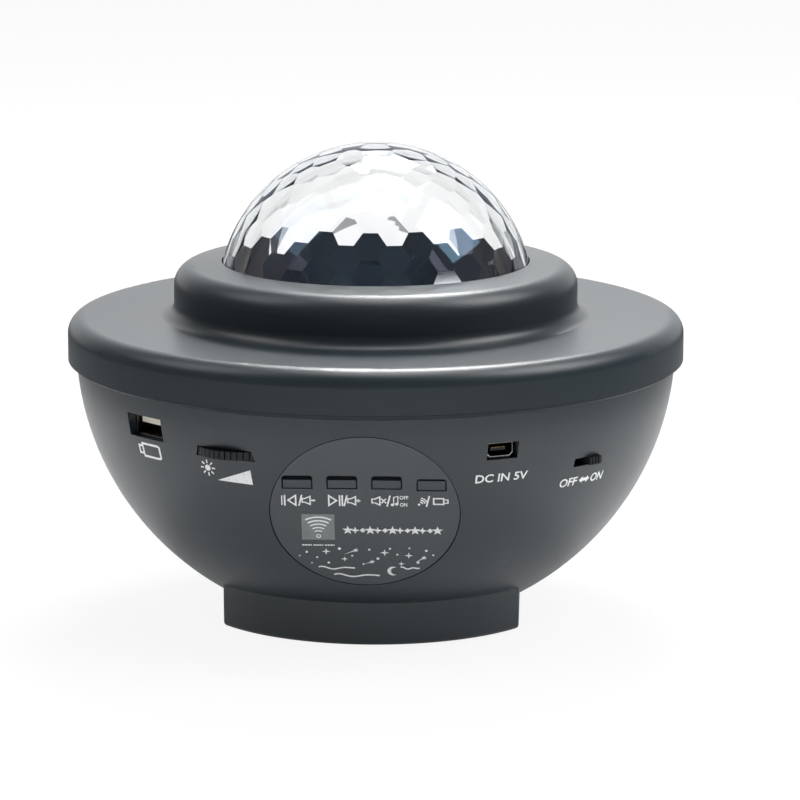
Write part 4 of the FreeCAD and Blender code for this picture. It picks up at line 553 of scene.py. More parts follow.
def on_circle(centre: Point, radius: float, angle: float) -> Point:
    """Returns the point at an angle, in radians, on a circle."""
    return centre[0] + radius * math.cos(angle), centre[1] + radius * math.sin(angle)


@dataclass
class Marks:
    """Flat shapes of one printing, in millimetres across and up the printed face."""

    outlines: list[list[Point]] = field(default_factory=list)
    sharpest: float = 0.35  # the cosine past which a mitre grows no longer

    def polygon(self, points: Sequence[Point]) -> None:
        """Adds a filled outline, turned so that it runs anticlockwise.

        Args:
            points: The outline's corners.
        """
        points = list(points)
        area = sum(a[0] * b[1] - b[0] * a[1] for a, b in zip(points, points[1:] + points[:1]))
        self.outlines.append(points if area > 0 else points[::-1])

    def stroke(self, points: Sequence[Point], width: float, closed: bool = False) -> None:
        """Adds a line of a width along points, with mitred corners.

        Args:
            points: The line's points.
            width: The line's width.
            closed: Whether the last point joins the first.
        """
        spots = [Vector(p) for p in points]
        count = len(spots)
        sides = []
        for place, spot in enumerate(spots):
            ways = []
            if closed or place:
                ways.append((spot - spots[place - 1]).normalized())
            if closed or place < count - 1:
                ways.append((spots[(place + 1) % count] - spot).normalized())
            way = sum(ways, Vector((0, 0))).normalized()
            normal = Vector((-way.y, way.x))
            mitre = max(self.sharpest, normal.dot(Vector((-ways[0].y, ways[0].x))))
            reach = width / 2 / mitre
            sides.append((spot + normal * reach, spot - normal * reach))
        pairs = list(zip(sides, sides[1:] + sides[:1])) if closed else list(zip(sides, sides[1:]))
        for (left, right), (next_left, next_right) in pairs:
            self.polygon([tuple(right), tuple(next_right), tuple(next_left), tuple(left)])

    def box(self, low: Point, high: Point, width: float) -> None:
        """Adds an upright rectangle's outline between two corners."""
        self.stroke([low, (high[0], low[1]), high, (low[0], high[1])], width, closed=True)

    def arc(self, centre: Point, radius: float, start: float, end: float, width: float,
            steps: int = 12) -> None:
        """Adds a curved line between two angles in degrees."""
        turn = [math.radians(start + (end - start) * k / steps) for k in range(steps + 1)]
        self.stroke([on_circle(centre, radius, t) for t in turn], width)

    def ring(self, centre: Point, radius: float, width: float, steps: int = 20) -> None:
        """Adds a closed round line."""
        turn = [math.tau * k / steps for k in range(steps)]
        self.stroke([on_circle(centre, radius, t) for t in turn], width, closed=True)

    def disc(self, centre: Point, radius: float, steps: int = 14) -> None:
        """Adds a filled round spot."""
        turn = [math.tau * k / steps for k in range(steps)]
        self.polygon([on_circle(centre, radius, t) for t in turn])

    def star(self, centre: Point, outer: float, inner: float, points: int = 4) -> None:
        """Adds a star that stands on its notch, with one point straight up.

        Args:
            centre: Its middle.
            outer: The radius of its points.
            inner: The radius of its notches.
            points: How many points it has.
        """
        outline = []
        for k in range(points * 2):
            radius = outer if k % 2 == 0 else inner
            outline.append(on_circle(centre, radius, math.radians(90) + math.pi * k / points))
        self.polygon(outline)

    def words(self, text: str, centre: Point, width: float, height: float, bold: float = 0.0) -> None:
        """Adds generic lettering that fills a box.

        Args:
            text: The letters.
            centre: The box's middle.
            width: The box's width.
            height: The box's height.
            bold: How far each stroke swells, as a share of the letter size.
        """
        curve = bpy.data.curves.new("lettering", "FONT")
        curve.body, curve.offset, curve.resolution_u = text, bold, 3
        holder = bpy.data.objects.new("lettering", curve)
        bpy.context.scene.collection.objects.link(holder)
        bpy.context.view_layer.update()
        mesh = bpy.data.meshes.new_from_object(holder.evaluated_get(bpy.context.evaluated_depsgraph_get()))
        low = [min(v.co[k] for v in mesh.vertices) for k in (0, 1)]
        high = [max(v.co[k] for v in mesh.vertices) for k in (0, 1)]
        scale = (width / (high[0] - low[0]), height / (high[1] - low[1]))
        left, bottom = centre[0] - width / 2, centre[1] - height / 2
        for face in mesh.polygons:
            spots = [mesh.vertices[k].co for k in face.vertices]
            self.polygon([(left + (p.x - low[0]) * scale[0], bottom + (p.y - low[1]) * scale[1])
                          for p in spots])
        bpy.data.objects.remove(holder)
        bpy.data.curves.remove(curve)
        bpy.data.meshes.remove(mesh)

    def printed(self, name: str, surface: Surface, material: Material, rise: float = 0.05,
                sink: float = 0.03, longest: float = 1.5) -> Piece:
        """Lays the marks on a surface as a thin closed skin.

        Args:
            name: The piece's name.
            surface: Gives the point in metres for across, up and out.
            material: The ink.
            rise: How far the ink stands out.
            sink: How far its back lies below the surface.
            longest: Edges longer than this are divided, so that they follow a round surface.

        Returns:
            The printed piece.
        """
        touching, most_divisions = 1e-4, 4
        flat = bmesh.new()
        for outline in self.outlines:
            flat.faces.new([flat.verts.new((*p, 0)) for p in outline])
        bmesh.ops.remove_doubles(flat, verts=flat.verts[:], dist=touching)
        bmesh.ops.dissolve_degenerate(flat, dist=touching, edges=flat.edges[:])
        bmesh.ops.triangulate(flat, faces=flat.faces[:])
        for _ in range(most_divisions):
            long = [e for e in flat.edges if e.calc_length() > longest]
            if not long:
                break
            bmesh.ops.subdivide_edges(flat, edges=long, cuts=1)
            bmesh.ops.triangulate(flat, faces=flat.faces[:])
        skin = bmesh.new()
        tops = {v: skin.verts.new(surface(v.co.x, v.co.y, rise)) for v in flat.verts}
        bottoms = {v: skin.verts.new(surface(v.co.x, v.co.y, -sink)) for v in flat.verts}
        for face in flat.faces:
            ring = [loop.vert for loop in face.loops]
            ring = ring if face.normal.z > 0 else ring[::-1]
            skin.faces.new([tops[v] for v in ring])
            skin.faces.new([bottoms[v] for v in reversed(ring)])
            for a, b in zip(ring, ring[1:] + ring[:1]):
                edge = flat.edges.get((a, b))
                if edge is not None and edge.is_boundary:
                    skin.faces.new([tops[b], tops[a], bottoms[a], bottoms[b]])
        flat.free()
        return object_from(name, skin, material)


def speaker_icon(marks: Marks, left: float, bottom: float, height: float = 3.0, width: float = 0.38) -> None:
    """Draws a small loudspeaker: a box with a widening horn.

    Args:
        marks: The printing.
        left: Its left edge.
        bottom: Its lowest point.
        height: Its full height.
        width: The line's width.
    """
    middle, half = bottom + height / 2, height / 2
    box = half * 0.42
    neck, mouth = left + height * 0.24, left + height * 0.68
    low, high = middle - half + 0.15, middle + half - 0.15
    lower = [(left, middle - box), (neck, middle - box), (mouth, low)]
    upper = [(mouth, high), (neck, middle + box), (left, middle + box)]
    marks.stroke(lower + upper, width, closed=True)


def slash(marks: Marks, left: float, bottom: float, height: float, width: float = 0.42) -> None:
    """Draws a slanted dividing stroke."""
    marks.stroke([(left, bottom), (left + height * 0.22, bottom + height)], width)


# Geometry Nodes trees


class NodeShape:
    """A Geometry Nodes tree with named inputs, run once to make a plain mesh."""

    def __init__(self, name: str) -> None:
        """Makes an empty tree.

        Args:
            name: The tree's name.
        """
        self.tree = bpy.data.node_groups.new(name, "GeometryNodeTree")
        self.tree.interface.new_socket("Geometry", in_out="INPUT", socket_type="NodeSocketGeometry")
        self.tree.interface.new_socket("Geometry", in_out="OUTPUT", socket_type="NodeSocketGeometry")
        self.entry = add_node(self.tree, "NodeGroupInput")
        self.values: dict[str, object] = {}

    def named(self, name: str, kind: str, value: object) -> Socket:
        """Adds a named input with its value.

        Args:
            name: The input's name.
            kind: The socket's type.
            value: The value that the modifier gets.

        Returns:
            The socket inside the tree.
        """
        item = self.tree.interface.new_socket(name, in_out="INPUT", socket_type=kind)
        self.values[item.identifier] = value
        return self.entry.outputs[name]

    def length(self, name: str, millimetres: float) -> Socket:
        """Adds a named length, given in millimetres."""
        return self.named(name, "NodeSocketFloat", millimetres * MM)

    def node(self, kind: str, inputs: dict | None = None, **settings: object) -> Node:
        """Adds a node to the tree."""
        return add_node(self.tree, kind, inputs, **settings)

    def value(self, kind: str, inputs: dict | None = None, output: int | str = 0,
              **settings: object) -> Socket:
        """Adds a node to the tree and returns one of its outputs."""
        return self.node(kind, inputs, **settings).outputs[output]

    def run(self, name: str, seed: Mesh, shape: Socket, material: Material) -> Piece:
        """Ends the tree, runs it on a mesh and keeps the result as a plain mesh.

        Args:
            name: The piece's name.
            seed: The mesh that the tree starts from.
            shape: The last geometry socket.
            material: The piece's material.

        Returns:
            An object at the origin with the made mesh and no modifier.
        """
        real = self.node("GeometryNodeRealizeInstances", {"Geometry": shape})
        dressed = self.node("GeometryNodeSetMaterial", {"Geometry": real.outputs[0], "Material": material})
        self.node("NodeGroupOutput", {0: dressed.outputs[0]})
        holder = mesh_object(name + "_seed", seed)
        modifier = holder.modifiers.new("shape", "NODES")
        modifier.node_group = self.tree
        for identifier, value in self.values.items():
            modifier[identifier] = value
        bpy.context.view_layer.update()
        made = bpy.data.meshes.new_from_object(holder.evaluated_get(bpy.context.evaluated_depsgraph_get()))
        made.name = name
        holder.modifiers.clear()
        bpy.data.objects.remove(holder)
        bpy.data.meshes.remove(seed)
        if not made.materials:
            made.materials.append(material)
        return mesh_object(name, made)


def seed_points(name: str, spots: Sequence[Vector], turns: Sequence[Vector] | None = None) -> Mesh:
    """Makes a mesh of loose points, with a turn for each.

    Args:
        name: The mesh's name.
        spots: The points, in metres.
        turns: The Euler angles that each instance gets.

    Returns:
        The mesh.
    """
    mesh = bpy.data.meshes.new(name)
    mesh.from_pydata([tuple(p) for p in spots], [], [])
    if turns:
        store = mesh.attributes.new("turn", "FLOAT_VECTOR", "POINT")
        store.data.foreach_set("vector", [c for t in turns for c in t])
    return mesh


# Sub-assemblies


@dataclass
class Shell:
    """The bowl, the stepped lid, the cover under the foot and its four pads."""

    bowl_arc_radius: float = 77.4
    bowl_arc_offset: float = 4.428
    bowl_arc_height: float = 74.084

    def radius_at(self, height: float) -> float:
        """Returns the bowl's outer radius at a height."""
        rise = height - self.bowl_arc_height
        return self.bowl_arc_offset + math.sqrt(self.bowl_arc_radius**2 - rise**2)

    def face(self, azimuth: float, height: float) -> Surface:
        """Gives the bowl's surface about a point of it.

        Args:
            azimuth: Degrees round from the front, to the right.
            height: The point's height.

        Returns:
            A function of millimetres round, up and out.
        """

        def surface(across: float, up: float, out: float) -> Vector:
            """Gives a point about the bowl's wall.

            Args:
                across: Millimetres to the right of the middle, along the wall.
                up: Millimetres above the middle.
                out: Millimetres out, square to the wall.

            Returns:
                The point, in metres.
            """
            turn = math.radians(azimuth) + across / self.radius_at(height)
            level = height + up
            slope = (self.bowl_arc_height - level) / (self.radius_at(level) - self.bowl_arc_offset)
            lean = math.hypot(1, slope)
            radius = self.radius_at(level) + out / lean
            level -= out * slope / lean
            return Vector((radius * math.sin(turn), -radius * math.cos(turn), level)) * MM

        return surface

    def dress(self) -> None:
        """Dresses the shell's CAD nodes."""
        dress(("bowl_housing", "top_cover", "bottom_cover"), CHARCOAL_ABS.material())
        dress(("rubber_feet",), SOFT_RUBBER.material())


@dataclass
class FacetedDome:
    """The clear dome: round outside, pressed into flat hexagons inside, on a round flange.

    The hexagons stand in level rings of eighteen, each ring half a step round from the last. Near the top,
    where eighteen no longer fit, they close up into an even cap. A facet lies on the inner sphere at its own
    middle, so the facets are the faces of the solid that those touching planes bound. With the round outer
    face, each is a weak lens.
    """

    centre_height: float = 84.7
    outer_radius: float = 43.2
    facet_radius: float = 42.0
    flange_radius: float = 46.2
    flange_depth: float = 2.0
    ring_count: int = 18
    first_latitude: float = -11.4
    ring_step: float = 5.15
    last_ring: int = 10
    cap_facets: int = 82
    crown_angle: float = 5.1  # from the top to the two facets that are held beside it
    crown_squeeze: float = 0.87  # how much nearer the outer two of the held facets stand
    golden_turn: float = 2.399963  # radians round, from one point of a spiral to the next
    spiral_top: float = 0.972  # where the spiral starts, as a share of the radius
    settling_rounds: int = 90
    edge_break: float = 0.07
    steps: int = 144
    levels: int = 44

    def ring_height(self, ring: float) -> float:
        """Returns a ring's height on the unit sphere, also between two rings."""
        return math.sin(math.radians(self.first_latitude + self.ring_step * ring))

    def ring_points(self) -> list[Vector]:
        """Lays out the facets' middles in the level rings.

        Returns:
            The points, on the unit sphere.
        """
        points = []
        for ring in range(self.last_ring + 1):
            latitude = math.radians(self.first_latitude + self.ring_step * ring)
            run, up = math.cos(latitude), math.sin(latitude)
            for place in range(self.ring_count):
                turn = math.tau * (place + 0.5 * (ring % 2)) / self.ring_count
                points.append(Vector((run * math.sin(turn), -run * math.cos(turn), up)))
        return points

    def held_points(self) -> list[Vector]:
        """Lays out the four facets about the top, which don't move.

        Returns:
            The points, on the unit sphere.
        """
        crown, squeeze = math.radians(self.crown_angle), self.crown_squeeze
        held = [Vector((0, way * math.sin(crown), math.cos(crown))) for way in (-1, 1)]
        beside = (math.sin(2 * crown) * squeeze, math.cos(2 * crown * squeeze))
        return held + [Vector((side * beside[0], 0, beside[1])).normalized() for side in (-1, 1)]

    def settled(self, free: list[Vector], fixed: Sequence[Vector]) -> list[Vector]:
        """Lets points on the sphere push each other apart.

        Args:
            free: The points that move.
            fixed: The points that only push.

        Returns:
            The moved points.
        """
        near_square, push_share, cooling_rounds, longest_step = 0.2, 2e-6, 120, 0.02
        for step in range(self.settling_rounds):
            everyone = free + list(fixed)
            moved = []
            for spot in free:
                push = Vector((0, 0, 0))
                for other in everyone:
                    gap = spot - other
                    square = gap.length_squared
                    if 1e-9 < square < near_square:
                        push += gap / (square * square)
                push -= spot * push.dot(spot)
                reach = min(push.length * push_share * (1 - step / cooling_rounds), longest_step)
                moved.append((spot + push.normalized() * reach).normalized() if push.length > 0 else spot)
            free = moved
        return free

    def cap_points(self, rings: Sequence[Vector]) -> list[Vector]:
        """Spreads the cap's facets evenly above the rings.

        They start on a spiral and push each other apart, and away from the rings, until they settle.

        Args:
            rings: The rings' points.

        Returns:
            The cap's points, on the unit sphere.
        """
        near = [p for p in rings if p.z > self.ring_height(self.last_ring - 2.5)]
        edge = self.ring_height(self.last_ring + 0.6)
        held = self.held_points()
        count = self.cap_facets - len(held)
        free = []
        for place in range(count):
            up = self.spiral_top - (self.spiral_top - edge) * (place + 0.5) / count
            run = math.sqrt(1 - up * up)
            free.append(Vector((*on_circle((0, 0), run, self.golden_turn * place), up)))
        return self.settled(free, held + near) + held

    def facets(self) -> Mesh:
        """Builds the solid of flat facets with a node tree.

        The points' convex hull has a triangle for each corner where three facets meet. The corner itself is
        on the triangle's normal, at the radius squared over the triangle's distance from the centre. The
        dual of the hull, with its points moved there, is the solid.

        Returns:
            The closed faceted ball, centred on the origin, in metres.
        """
        rings = self.ring_points()
        spots = [p * self.facet_radius * MM for p in rings + self.cap_points(rings)]
        spots += [Vector((0, 0, -self.facet_radius * MM * 0.9))]
        shape = NodeShape("faceted_dome")
        radius = shape.length("Facet Radius", self.facet_radius)
        joint = shape.length("Joined Within", 0.05)
        hull = shape.node("GeometryNodeConvexHull", {"Geometry": shape.entry.outputs["Geometry"]})
        normal = shape.value("GeometryNodeInputNormal")
        both = {0: normal, 1: shape.value("GeometryNodeInputPosition")}
        distance = shape.value("ShaderNodeVectorMath", both, "Value", operation="DOT_PRODUCT")
        square = shape.value("ShaderNodeMath", {0: radius, 1: radius}, operation="MULTIPLY")
        reach = shape.value("ShaderNodeMath", {0: square, 1: distance}, operation="DIVIDE")
        onward = {0: normal, "Scale": reach}
        corner = shape.value("ShaderNodeVectorMath", onward, "Vector", operation="SCALE")
        kept = shape.node("GeometryNodeStoreNamedAttribute",
                          {"Geometry": hull.outputs[0], "Name": "corner", "Value": corner},
                          data_type="FLOAT_VECTOR", domain="FACE")
        dual = shape.node("GeometryNodeDualMesh", {0: kept.outputs[0]})
        place = shape.value("GeometryNodeInputNamedAttribute", {"Name": "corner"}, data_type="FLOAT_VECTOR")
        moved = shape.node("GeometryNodeSetPosition", {"Geometry": dual.outputs[0], "Position": place})
        joined = shape.node("GeometryNodeMergeByDistance", {"Geometry": moved.outputs[0], "Distance": joint})
        seed = seed_points("facet_spots", spots)
        made = shape.run("facet_ball", seed, joined.outputs[0], FACETED_ACRYLIC.material())
        mesh = made.data
        bpy.data.objects.remove(made)
        return mesh

    def inner_wall(self) -> bmesh.types.BMesh:
        """Rounds the edges between the facets and cuts the ball off level with the flange's underside.

        Returns:
            The open inner wall, centred on the dome's own centre, in metres.
        """
        ball = self.facets()
        build = bmesh.new()
        build.from_mesh(ball)
        bpy.data.meshes.remove(ball)
        bmesh.ops.bevel(build, geom=build.edges[:], offset=self.edge_break * MM, segments=1, profile=0.5,
                        affect="EDGES")
        everything = build.verts[:] + build.edges[:] + build.faces[:]
        bmesh.ops.bisect_plane(build, geom=everything, plane_co=(0, 0, -self.flange_depth * MM),
                               plane_no=(0, 0, -1), clear_outer=True, dist=1e-6)
        return build

    def outer_wall(self, build: bmesh.types.BMesh) -> list[bmesh.types.BMVert]:
        """Adds the round outer face and the flange.

        Args:
            build: The mesh under construction, centred on the dome's own centre.

        Returns:
            The flange's lowest ring of points, from the bearing of -180 degrees round.
        """
        quarter = [math.pi / 2 * level / self.levels for level in range(self.levels)]
        profile = [on_circle((0, 0), self.outer_radius, t) for t in reversed(quarter)]
        profile += [(self.flange_radius, 0.0), (self.flange_radius, -self.flange_depth)]
        turns = [math.tau * k / self.steps - math.pi for k in range(self.steps)]
        rings = []
        for radius, height in profile:
            spots = [Vector((radius * math.cos(t), radius * math.sin(t), height)) * MM for t in turns]
            rings.append([build.verts.new(spot) for spot in spots])
        pole = build.verts.new((0, 0, self.outer_radius * MM))
        for k in range(self.steps):
            after = (k + 1) % self.steps
            build.faces.new([rings[0][k], rings[0][after], pole])
            for upper, lower in zip(rings, rings[1:]):
                build.faces.new([lower[k], lower[after], upper[after], upper[k]])
        return rings[-1]

    def underside(self, build: bmesh.types.BMesh, outside: list[bmesh.types.BMVert]) -> None:
        """Closes the flange's underside, from the inner wall's uneven edge to the flange's even one.

        Args:
            build: The mesh under construction.
            outside: The flange's lowest ring of points.
        """
        rim = {v for e in build.edges if e.is_boundary for v in e.verts} - set(outside)
        foot = sorted(rim, key=lambda v: math.atan2(v.co.y, v.co.x))
        facing = 0
        for k, vert in enumerate(foot):
            after = foot[(k + 1) % len(foot)]
            share = (math.atan2(after.co.y, after.co.x) + math.pi) / math.tau * self.steps
            target = math.ceil(share) if after is not foot[0] else self.steps
            build.faces.new([vert, outside[facing % self.steps], after])
            while facing < target:
                build.faces.new([outside[facing % self.steps], outside[(facing + 1) % self.steps], after])
                facing += 1

    def build(self) -> Piece:
        """Joins the faceted inner wall to the round outer wall below the flange.

        Returns:
            The dome, which replaces its CAD node.
        """
        build = self.inner_wall()
        self.underside(build, self.outer_wall(build))
        bmesh.ops.remove_doubles(build, verts=build.verts[:], dist=1e-7)
        bmesh.ops.recalc_face_normals(build, faces=build.faces[:])
        between = (self.facet_radius + self.outer_radius) / 2 * MM
        round_faces = [f.calc_center_median().length > between and 0.001 < f.normal.z < 0.9999
                       for f in build.faces]
        bmesh.ops.translate(build, verts=build.verts[:], vec=(0, 0, self.centre_height * MM))
        dome = object_from("faceted_dome", build, FACETED_ACRYLIC.material())
        dome.data.polygons.foreach_set("use_smooth", round_faces)
        return finish_piece(dome, BASE, ["dome_lens"])


@dataclass
class FrontPanel:
    """The round panel with its four keys, its pale window and its printed marks."""

    lean: float = 26.4
    middle_out: float = 70.085
    middle_height: float = 41.5
    line: float = 0.42
    thin_line: float = 0.34
    row_bottom: float = 1.95
    row_height: float = 3.6
    star_row_height: float = -6.15
    star_row_left: float = -4.6
    star_row_pitch: float = 1.95

    def surface(self, across: float, up: float, out: float) -> Vector:
        """Gives a point about the panel's face.

        Args:
            across: Millimetres to the right of the panel's middle.
            up: Millimetres up the leaning face.
            out: Millimetres out of it.

        Returns:
            The point, in metres.
        """
        lean = math.radians(self.lean)
        along = -self.middle_out - up * math.sin(lean) - out * math.cos(lean)
        level = self.middle_height + up * math.cos(lean) - out * math.sin(lean)
        return Vector((across, along, level)) * MM

    def print_marks(self, name: str, marks: Marks) -> Piece:
        """Lays a printing on the panel."""
        return finish_piece(marks.printed(name, self.surface, PALE_INK.material()), BASE)

    def dress(self) -> None:
        """Dresses the panel's CAD nodes."""
        dress(("control_panel",), PANEL_ABS.material())
        dress(("previous_key", "play_key", "mute_key", "source_key"), KEY_ABS.material())
        dress(("infrared_window",), PALE_POLYCARBONATE.material())

    def back_and_softer(self, marks: Marks) -> None:
        """Draws the first key's marks: back, and a softer speaker.

        Args:
            marks: The panel's printing.
        """
        low, top = self.row_bottom, self.row_bottom + self.row_height
        mid = low + self.row_height / 2
        marks.stroke([(-21.5, low + 0.2), (-21.5, top - 0.2)], 0.3)
        marks.stroke([(-20.75, low), (-20.75, top)], self.line)
        marks.stroke([(-19.9, mid), (-17.9, low + 0.15), (-17.9, top - 0.15)], self.line, closed=True)
        slash(marks, -17.1, low, self.row_height)
        speaker_icon(marks, -16.2, mid - 1.5)
        marks.stroke([(-13.9, mid), (-12.85, mid)], 0.5)

    def play_and_louder(self, marks: Marks) -> None:
        """Draws the second key's marks: play and pause, and a louder speaker.

        Args:
            marks: The panel's printing.
        """
        low, top = self.row_bottom, self.row_bottom + self.row_height
        mid = low + self.row_height / 2
        marks.stroke([(-9.3, low + 0.15), (-9.3, top - 0.15), (-7.3, mid)], self.line, closed=True)
        for across in (-6.5, -5.8):
            marks.stroke([(across, low), (across, top)], self.line)
        slash(marks, -5.35, low, self.row_height)
        speaker_icon(marks, -4.4, mid - 1.5)
        marks.stroke([(-2.2, mid), (-1.1, mid)], 0.4)
        marks.stroke([(-1.65, mid - 0.55), (-1.65, mid + 0.55)], 0.4)

    def sound_off(self, marks: Marks) -> None:
        """Draws the third key's marks: a crossed speaker, and a note with off over on.

        Args:
            marks: The panel's printing.
        """
        low, top = self.row_bottom, self.row_bottom + self.row_height
        mid = low + self.row_height / 2
        speaker_icon(marks, 1.9, mid - 1.5)
        for way in (-1, 1):
            marks.stroke([(4.35, mid - way * 0.75), (5.55, mid + way * 0.75)], 0.36)
        slash(marks, 5.8, low, self.row_height)
        marks.disc((7.2, low + 0.55), 0.45)
        marks.disc((8.3, low + 0.8), 0.45)
        marks.stroke([(7.52, low + 0.6), (7.52, top - 0.55), (8.62, top - 0.25), (8.62, low + 0.85)], 0.28)
        marks.words("OFF", (10.2, top - 0.65), 2.3, 1.2, 0.02)
        marks.words("ON", (10.1, low + 0.6), 1.9, 1.2, 0.02)

    def sound_source(self, marks: Marks) -> None:
        """Draws the fourth key's marks: a wireless wave, or a memory stick.

        Args:
            marks: The panel's printing.
        """
        low = self.row_bottom
        mid = low + self.row_height / 2
        sender = (14.1, mid - 1.1)
        marks.disc(sender, 0.34)
        for radius in (0.95, 1.6, 2.25):
            marks.arc(sender, radius, 14, 76, self.thin_line, 8)
        slash(marks, 16.0, low, self.row_height)
        marks.box((17.9, mid - 0.95), (20.5, mid + 0.95), 0.4)
        plug = [(20.5, mid - 0.55), (21.6, mid - 0.55), (21.6, mid + 0.55), (20.5, mid + 0.55)]
        marks.stroke(plug, self.thin_line)

    def key_marks(self) -> Piece:
        """Prints the generic marks under the four keys.

        Returns:
            The printing in one piece.
        """
        marks = Marks()
        self.back_and_softer(marks)
        self.play_and_louder(marks)
        self.sound_off(marks)
        self.sound_source(marks)
        return self.print_marks("panel_key_marks", marks)

    def window_marks(self) -> Piece:
        """Prints the fan of arcs on the pale window, and the row of small unreadable marks below it.

        Returns:
            The printing in one piece.
        """
        marks = Marks()
        foot = (-12.25, -8.2)
        marks.ring(foot, 0.52, 0.26)
        for radius, width in ((1.75, 0.34), (2.85, 0.38), (4.0, 0.42), (5.15, 0.44), (6.35, 0.46)):
            marks.arc(foot, radius, 58, 122, width, 14)
        level, wide, narrow = -11.25, 0.58, 0.3
        for place in range(12):
            left = -16.6 + place * 0.74
            marks.stroke([(left, level), (left + (wide if place % 4 != 3 else narrow), level)], self.line)
        return self.print_marks("panel_window_marks", marks)

    def star_row(self) -> Piece:
        """Prints a plain row of stars, sparks and diamonds across the panel.

        Returns:
            The printing in one piece.
        """
        marks = Marks()
        forms = ((1.5, 0.6, 5), (1.15, 0.42, 4), (0.8, 0.55, 4))
        for place in range(13):
            outer, inner, points = forms[place % len(forms)]
            spot = (self.star_row_left + place * self.star_row_pitch, self.star_row_height)
            marks.star(spot, outer, inner, points)
        return self.print_marks("panel_star_row", marks)

    def sky(self, marks: Marks) -> None:
        """Draws the dots, the sparks and the comets.

        Args:
            marks: The panel's printing.
        """
        for across, up, size in (
            (-15.5, -13.6, 0.36), (-12.8, -15.4, 0.3), (-6.9, -12.4, 0.42), (-3.6, -14.8, 0.3),
            (0.9, -12.7, 0.34), (3.1, -15.7, 0.42), (6.3, -12.3, 0.3), (8.2, -14.3, 0.3),
            (15.8, -12.9, 0.38), (13.6, -16.9, 0.42), (-9.8, -17.2, 0.34), (-0.7, -17.6, 0.3),
            (17.6, -14.4, 0.26), (11.4, -12.1, 0.26), (-14.2, -17.3, 0.24), (-17.4, -14.9, 0.24),
        ):
            marks.disc((across, up), size, 10)
        for across, up, size in (
            (-10.4, -13.4, 1.15), (-5.6, -15.9, 0.9), (4.9, -13.7, 1.2), (11.2, -14.6, 1.1),
            (9.2, -17.4, 0.8),
        ):
            marks.star((across, up), size, size * 0.28)
        half_tail = 0.16
        comets = ((-2.6, -12.9, 3.6, 205), (15.2, -15.3, 2.6, 215), (1.6, -16.8, 2.2, 200))
        for across, up, reach, bearing in comets:
            turn = math.radians(bearing)
            side = (half_tail * -math.sin(turn), half_tail * math.cos(turn))
            end = on_circle((across, up), reach, turn)
            marks.polygon([(across + side[0], up + side[1]), end, (across - side[0], up - side[1])])
            marks.star((across, up), 0.75, 0.3, 5)

    def moon(self, marks: Marks) -> None:
        """Draws a slim moon: a round disc with another bitten out of it.

        Args:
            marks: The panel's printing.
        """
        outer = [on_circle((7.0, -19.9), 1.5, math.radians(a)) for a in range(60, 301, 20)]
        inner = [on_circle((7.7, -19.9), 1.25, math.radians(a)) for a in range(280, 79, -20)]
        marks.polygon(outer + inner)

    def hills(self, marks: Marks) -> None:
        """Draws the wavy lines of the hills.

        Args:
            marks: The panel's printing.
        """
        steps = 24
        for start, end, level, swing, width in (
            (-12.5, -3.0, -19.0, 0.45, 0.42), (-8.5, 3.5, -21.5, 0.5, 0.46), (9.0, 14.0, -18.9, 0.3, 0.4),
        ):
            points = []
            for k in range(steps + 1):
                share = k / steps
                wave = swing * math.sin(share * math.tau * 1.5) + 0.3 * math.cos(share * 11)
                points.append((start + (end - start) * share, level + wave))
            marks.stroke(points, width)

    def night_sky(self) -> Piece:
        """Prints a generic night sky over hills in the panel's lower part.

        Returns:
            The printing in one piece.
        """
        marks = Marks()
        self.sky(marks)
        self.moon(marks)
        self.hills(marks)
        return self.print_marks("panel_night_sky", marks)

    def build(self) -> None:
        """Dresses and prints the panel."""
        self.dress()
        self.key_marks()
        self.window_marks()
        self.star_row()
        self.night_sky()


@dataclass
class ContactRow:
    """A row of flat sprung contacts on the tongue of a socket."""

    name: str
    count: int
    pitch: float  # from one to the next
    width: float  # across one
    depth: float  # along one, into the socket
    azimuth: float  # the socket's direction, in degrees
    height: float  # their middle
    front: float  # how far out their front end is
    thickness: float = 0.16
    press: float = 0.2  # twice how far the end that meets the plug is pressed down

    def build(self) -> Piece:
        """Lays the contacts with a node tree.

        Returns:
            The contacts in one piece.
        """
        shape = NodeShape(self.name)
        spacing = shape.length("Pitch", self.pitch)
        amount = shape.named("Count", "NodeSocketInt", self.count)
        wide = shape.length("Contact Width", self.width)
        deep = shape.length("Contact Depth", self.depth)
        thick = shape.length("Contact Thickness", self.thickness)
        press = shape.length("Press", self.press)
        step = shape.value("ShaderNodeCombineXYZ", {0: spacing})
        row = shape.node("GeometryNodeMeshLine", {"Count": amount, "Offset": step})
        size = shape.value("ShaderNodeCombineXYZ", {0: wide, 1: deep, 2: thick})
        blade = shape.node("GeometryNodeMeshCube", {"Size": size})
        spot = shape.value("GeometryNodeInputPosition")
        along = shape.value("ShaderNodeSeparateXYZ", {0: spot}, 1)
        share = shape.value("ShaderNodeMath", {0: along, 1: deep}, operation="DIVIDE")
        bend = shape.value("ShaderNodeMath", {0: share, 1: 0.0}, operation="MINIMUM")
        drop = shape.value("ShaderNodeMath", {0: bend, 1: press}, operation="MULTIPLY")
        down = shape.value("ShaderNodeCombineXYZ", {2: drop})
        bent = shape.node("GeometryNodeSetPosition", {"Geometry": blade.outputs[0], "Offset": down})
        laid = shape.node("GeometryNodeInstanceOnPoints",
                          {"Points": row.outputs[0], "Instance": bent.outputs[0]})
        seed = seed_points(self.name + "_spot", [Vector((0, 0, 0))])
        made = shape.run(self.name, seed, laid.outputs[0], GOLD_FLASH.material())
        first, middle = -self.pitch * (self.count - 1) / 2, self.front - self.depth / 2
        made.data.transform(Matrix.Translation((first * MM, 0, 0)))
        made.data.transform(Matrix.Translation((0, -middle * MM, self.height * MM)))
        made.data.transform(Matrix.Rotation(math.radians(self.azimuth), 4, "Z"))
        return finish_piece(made, BASE)


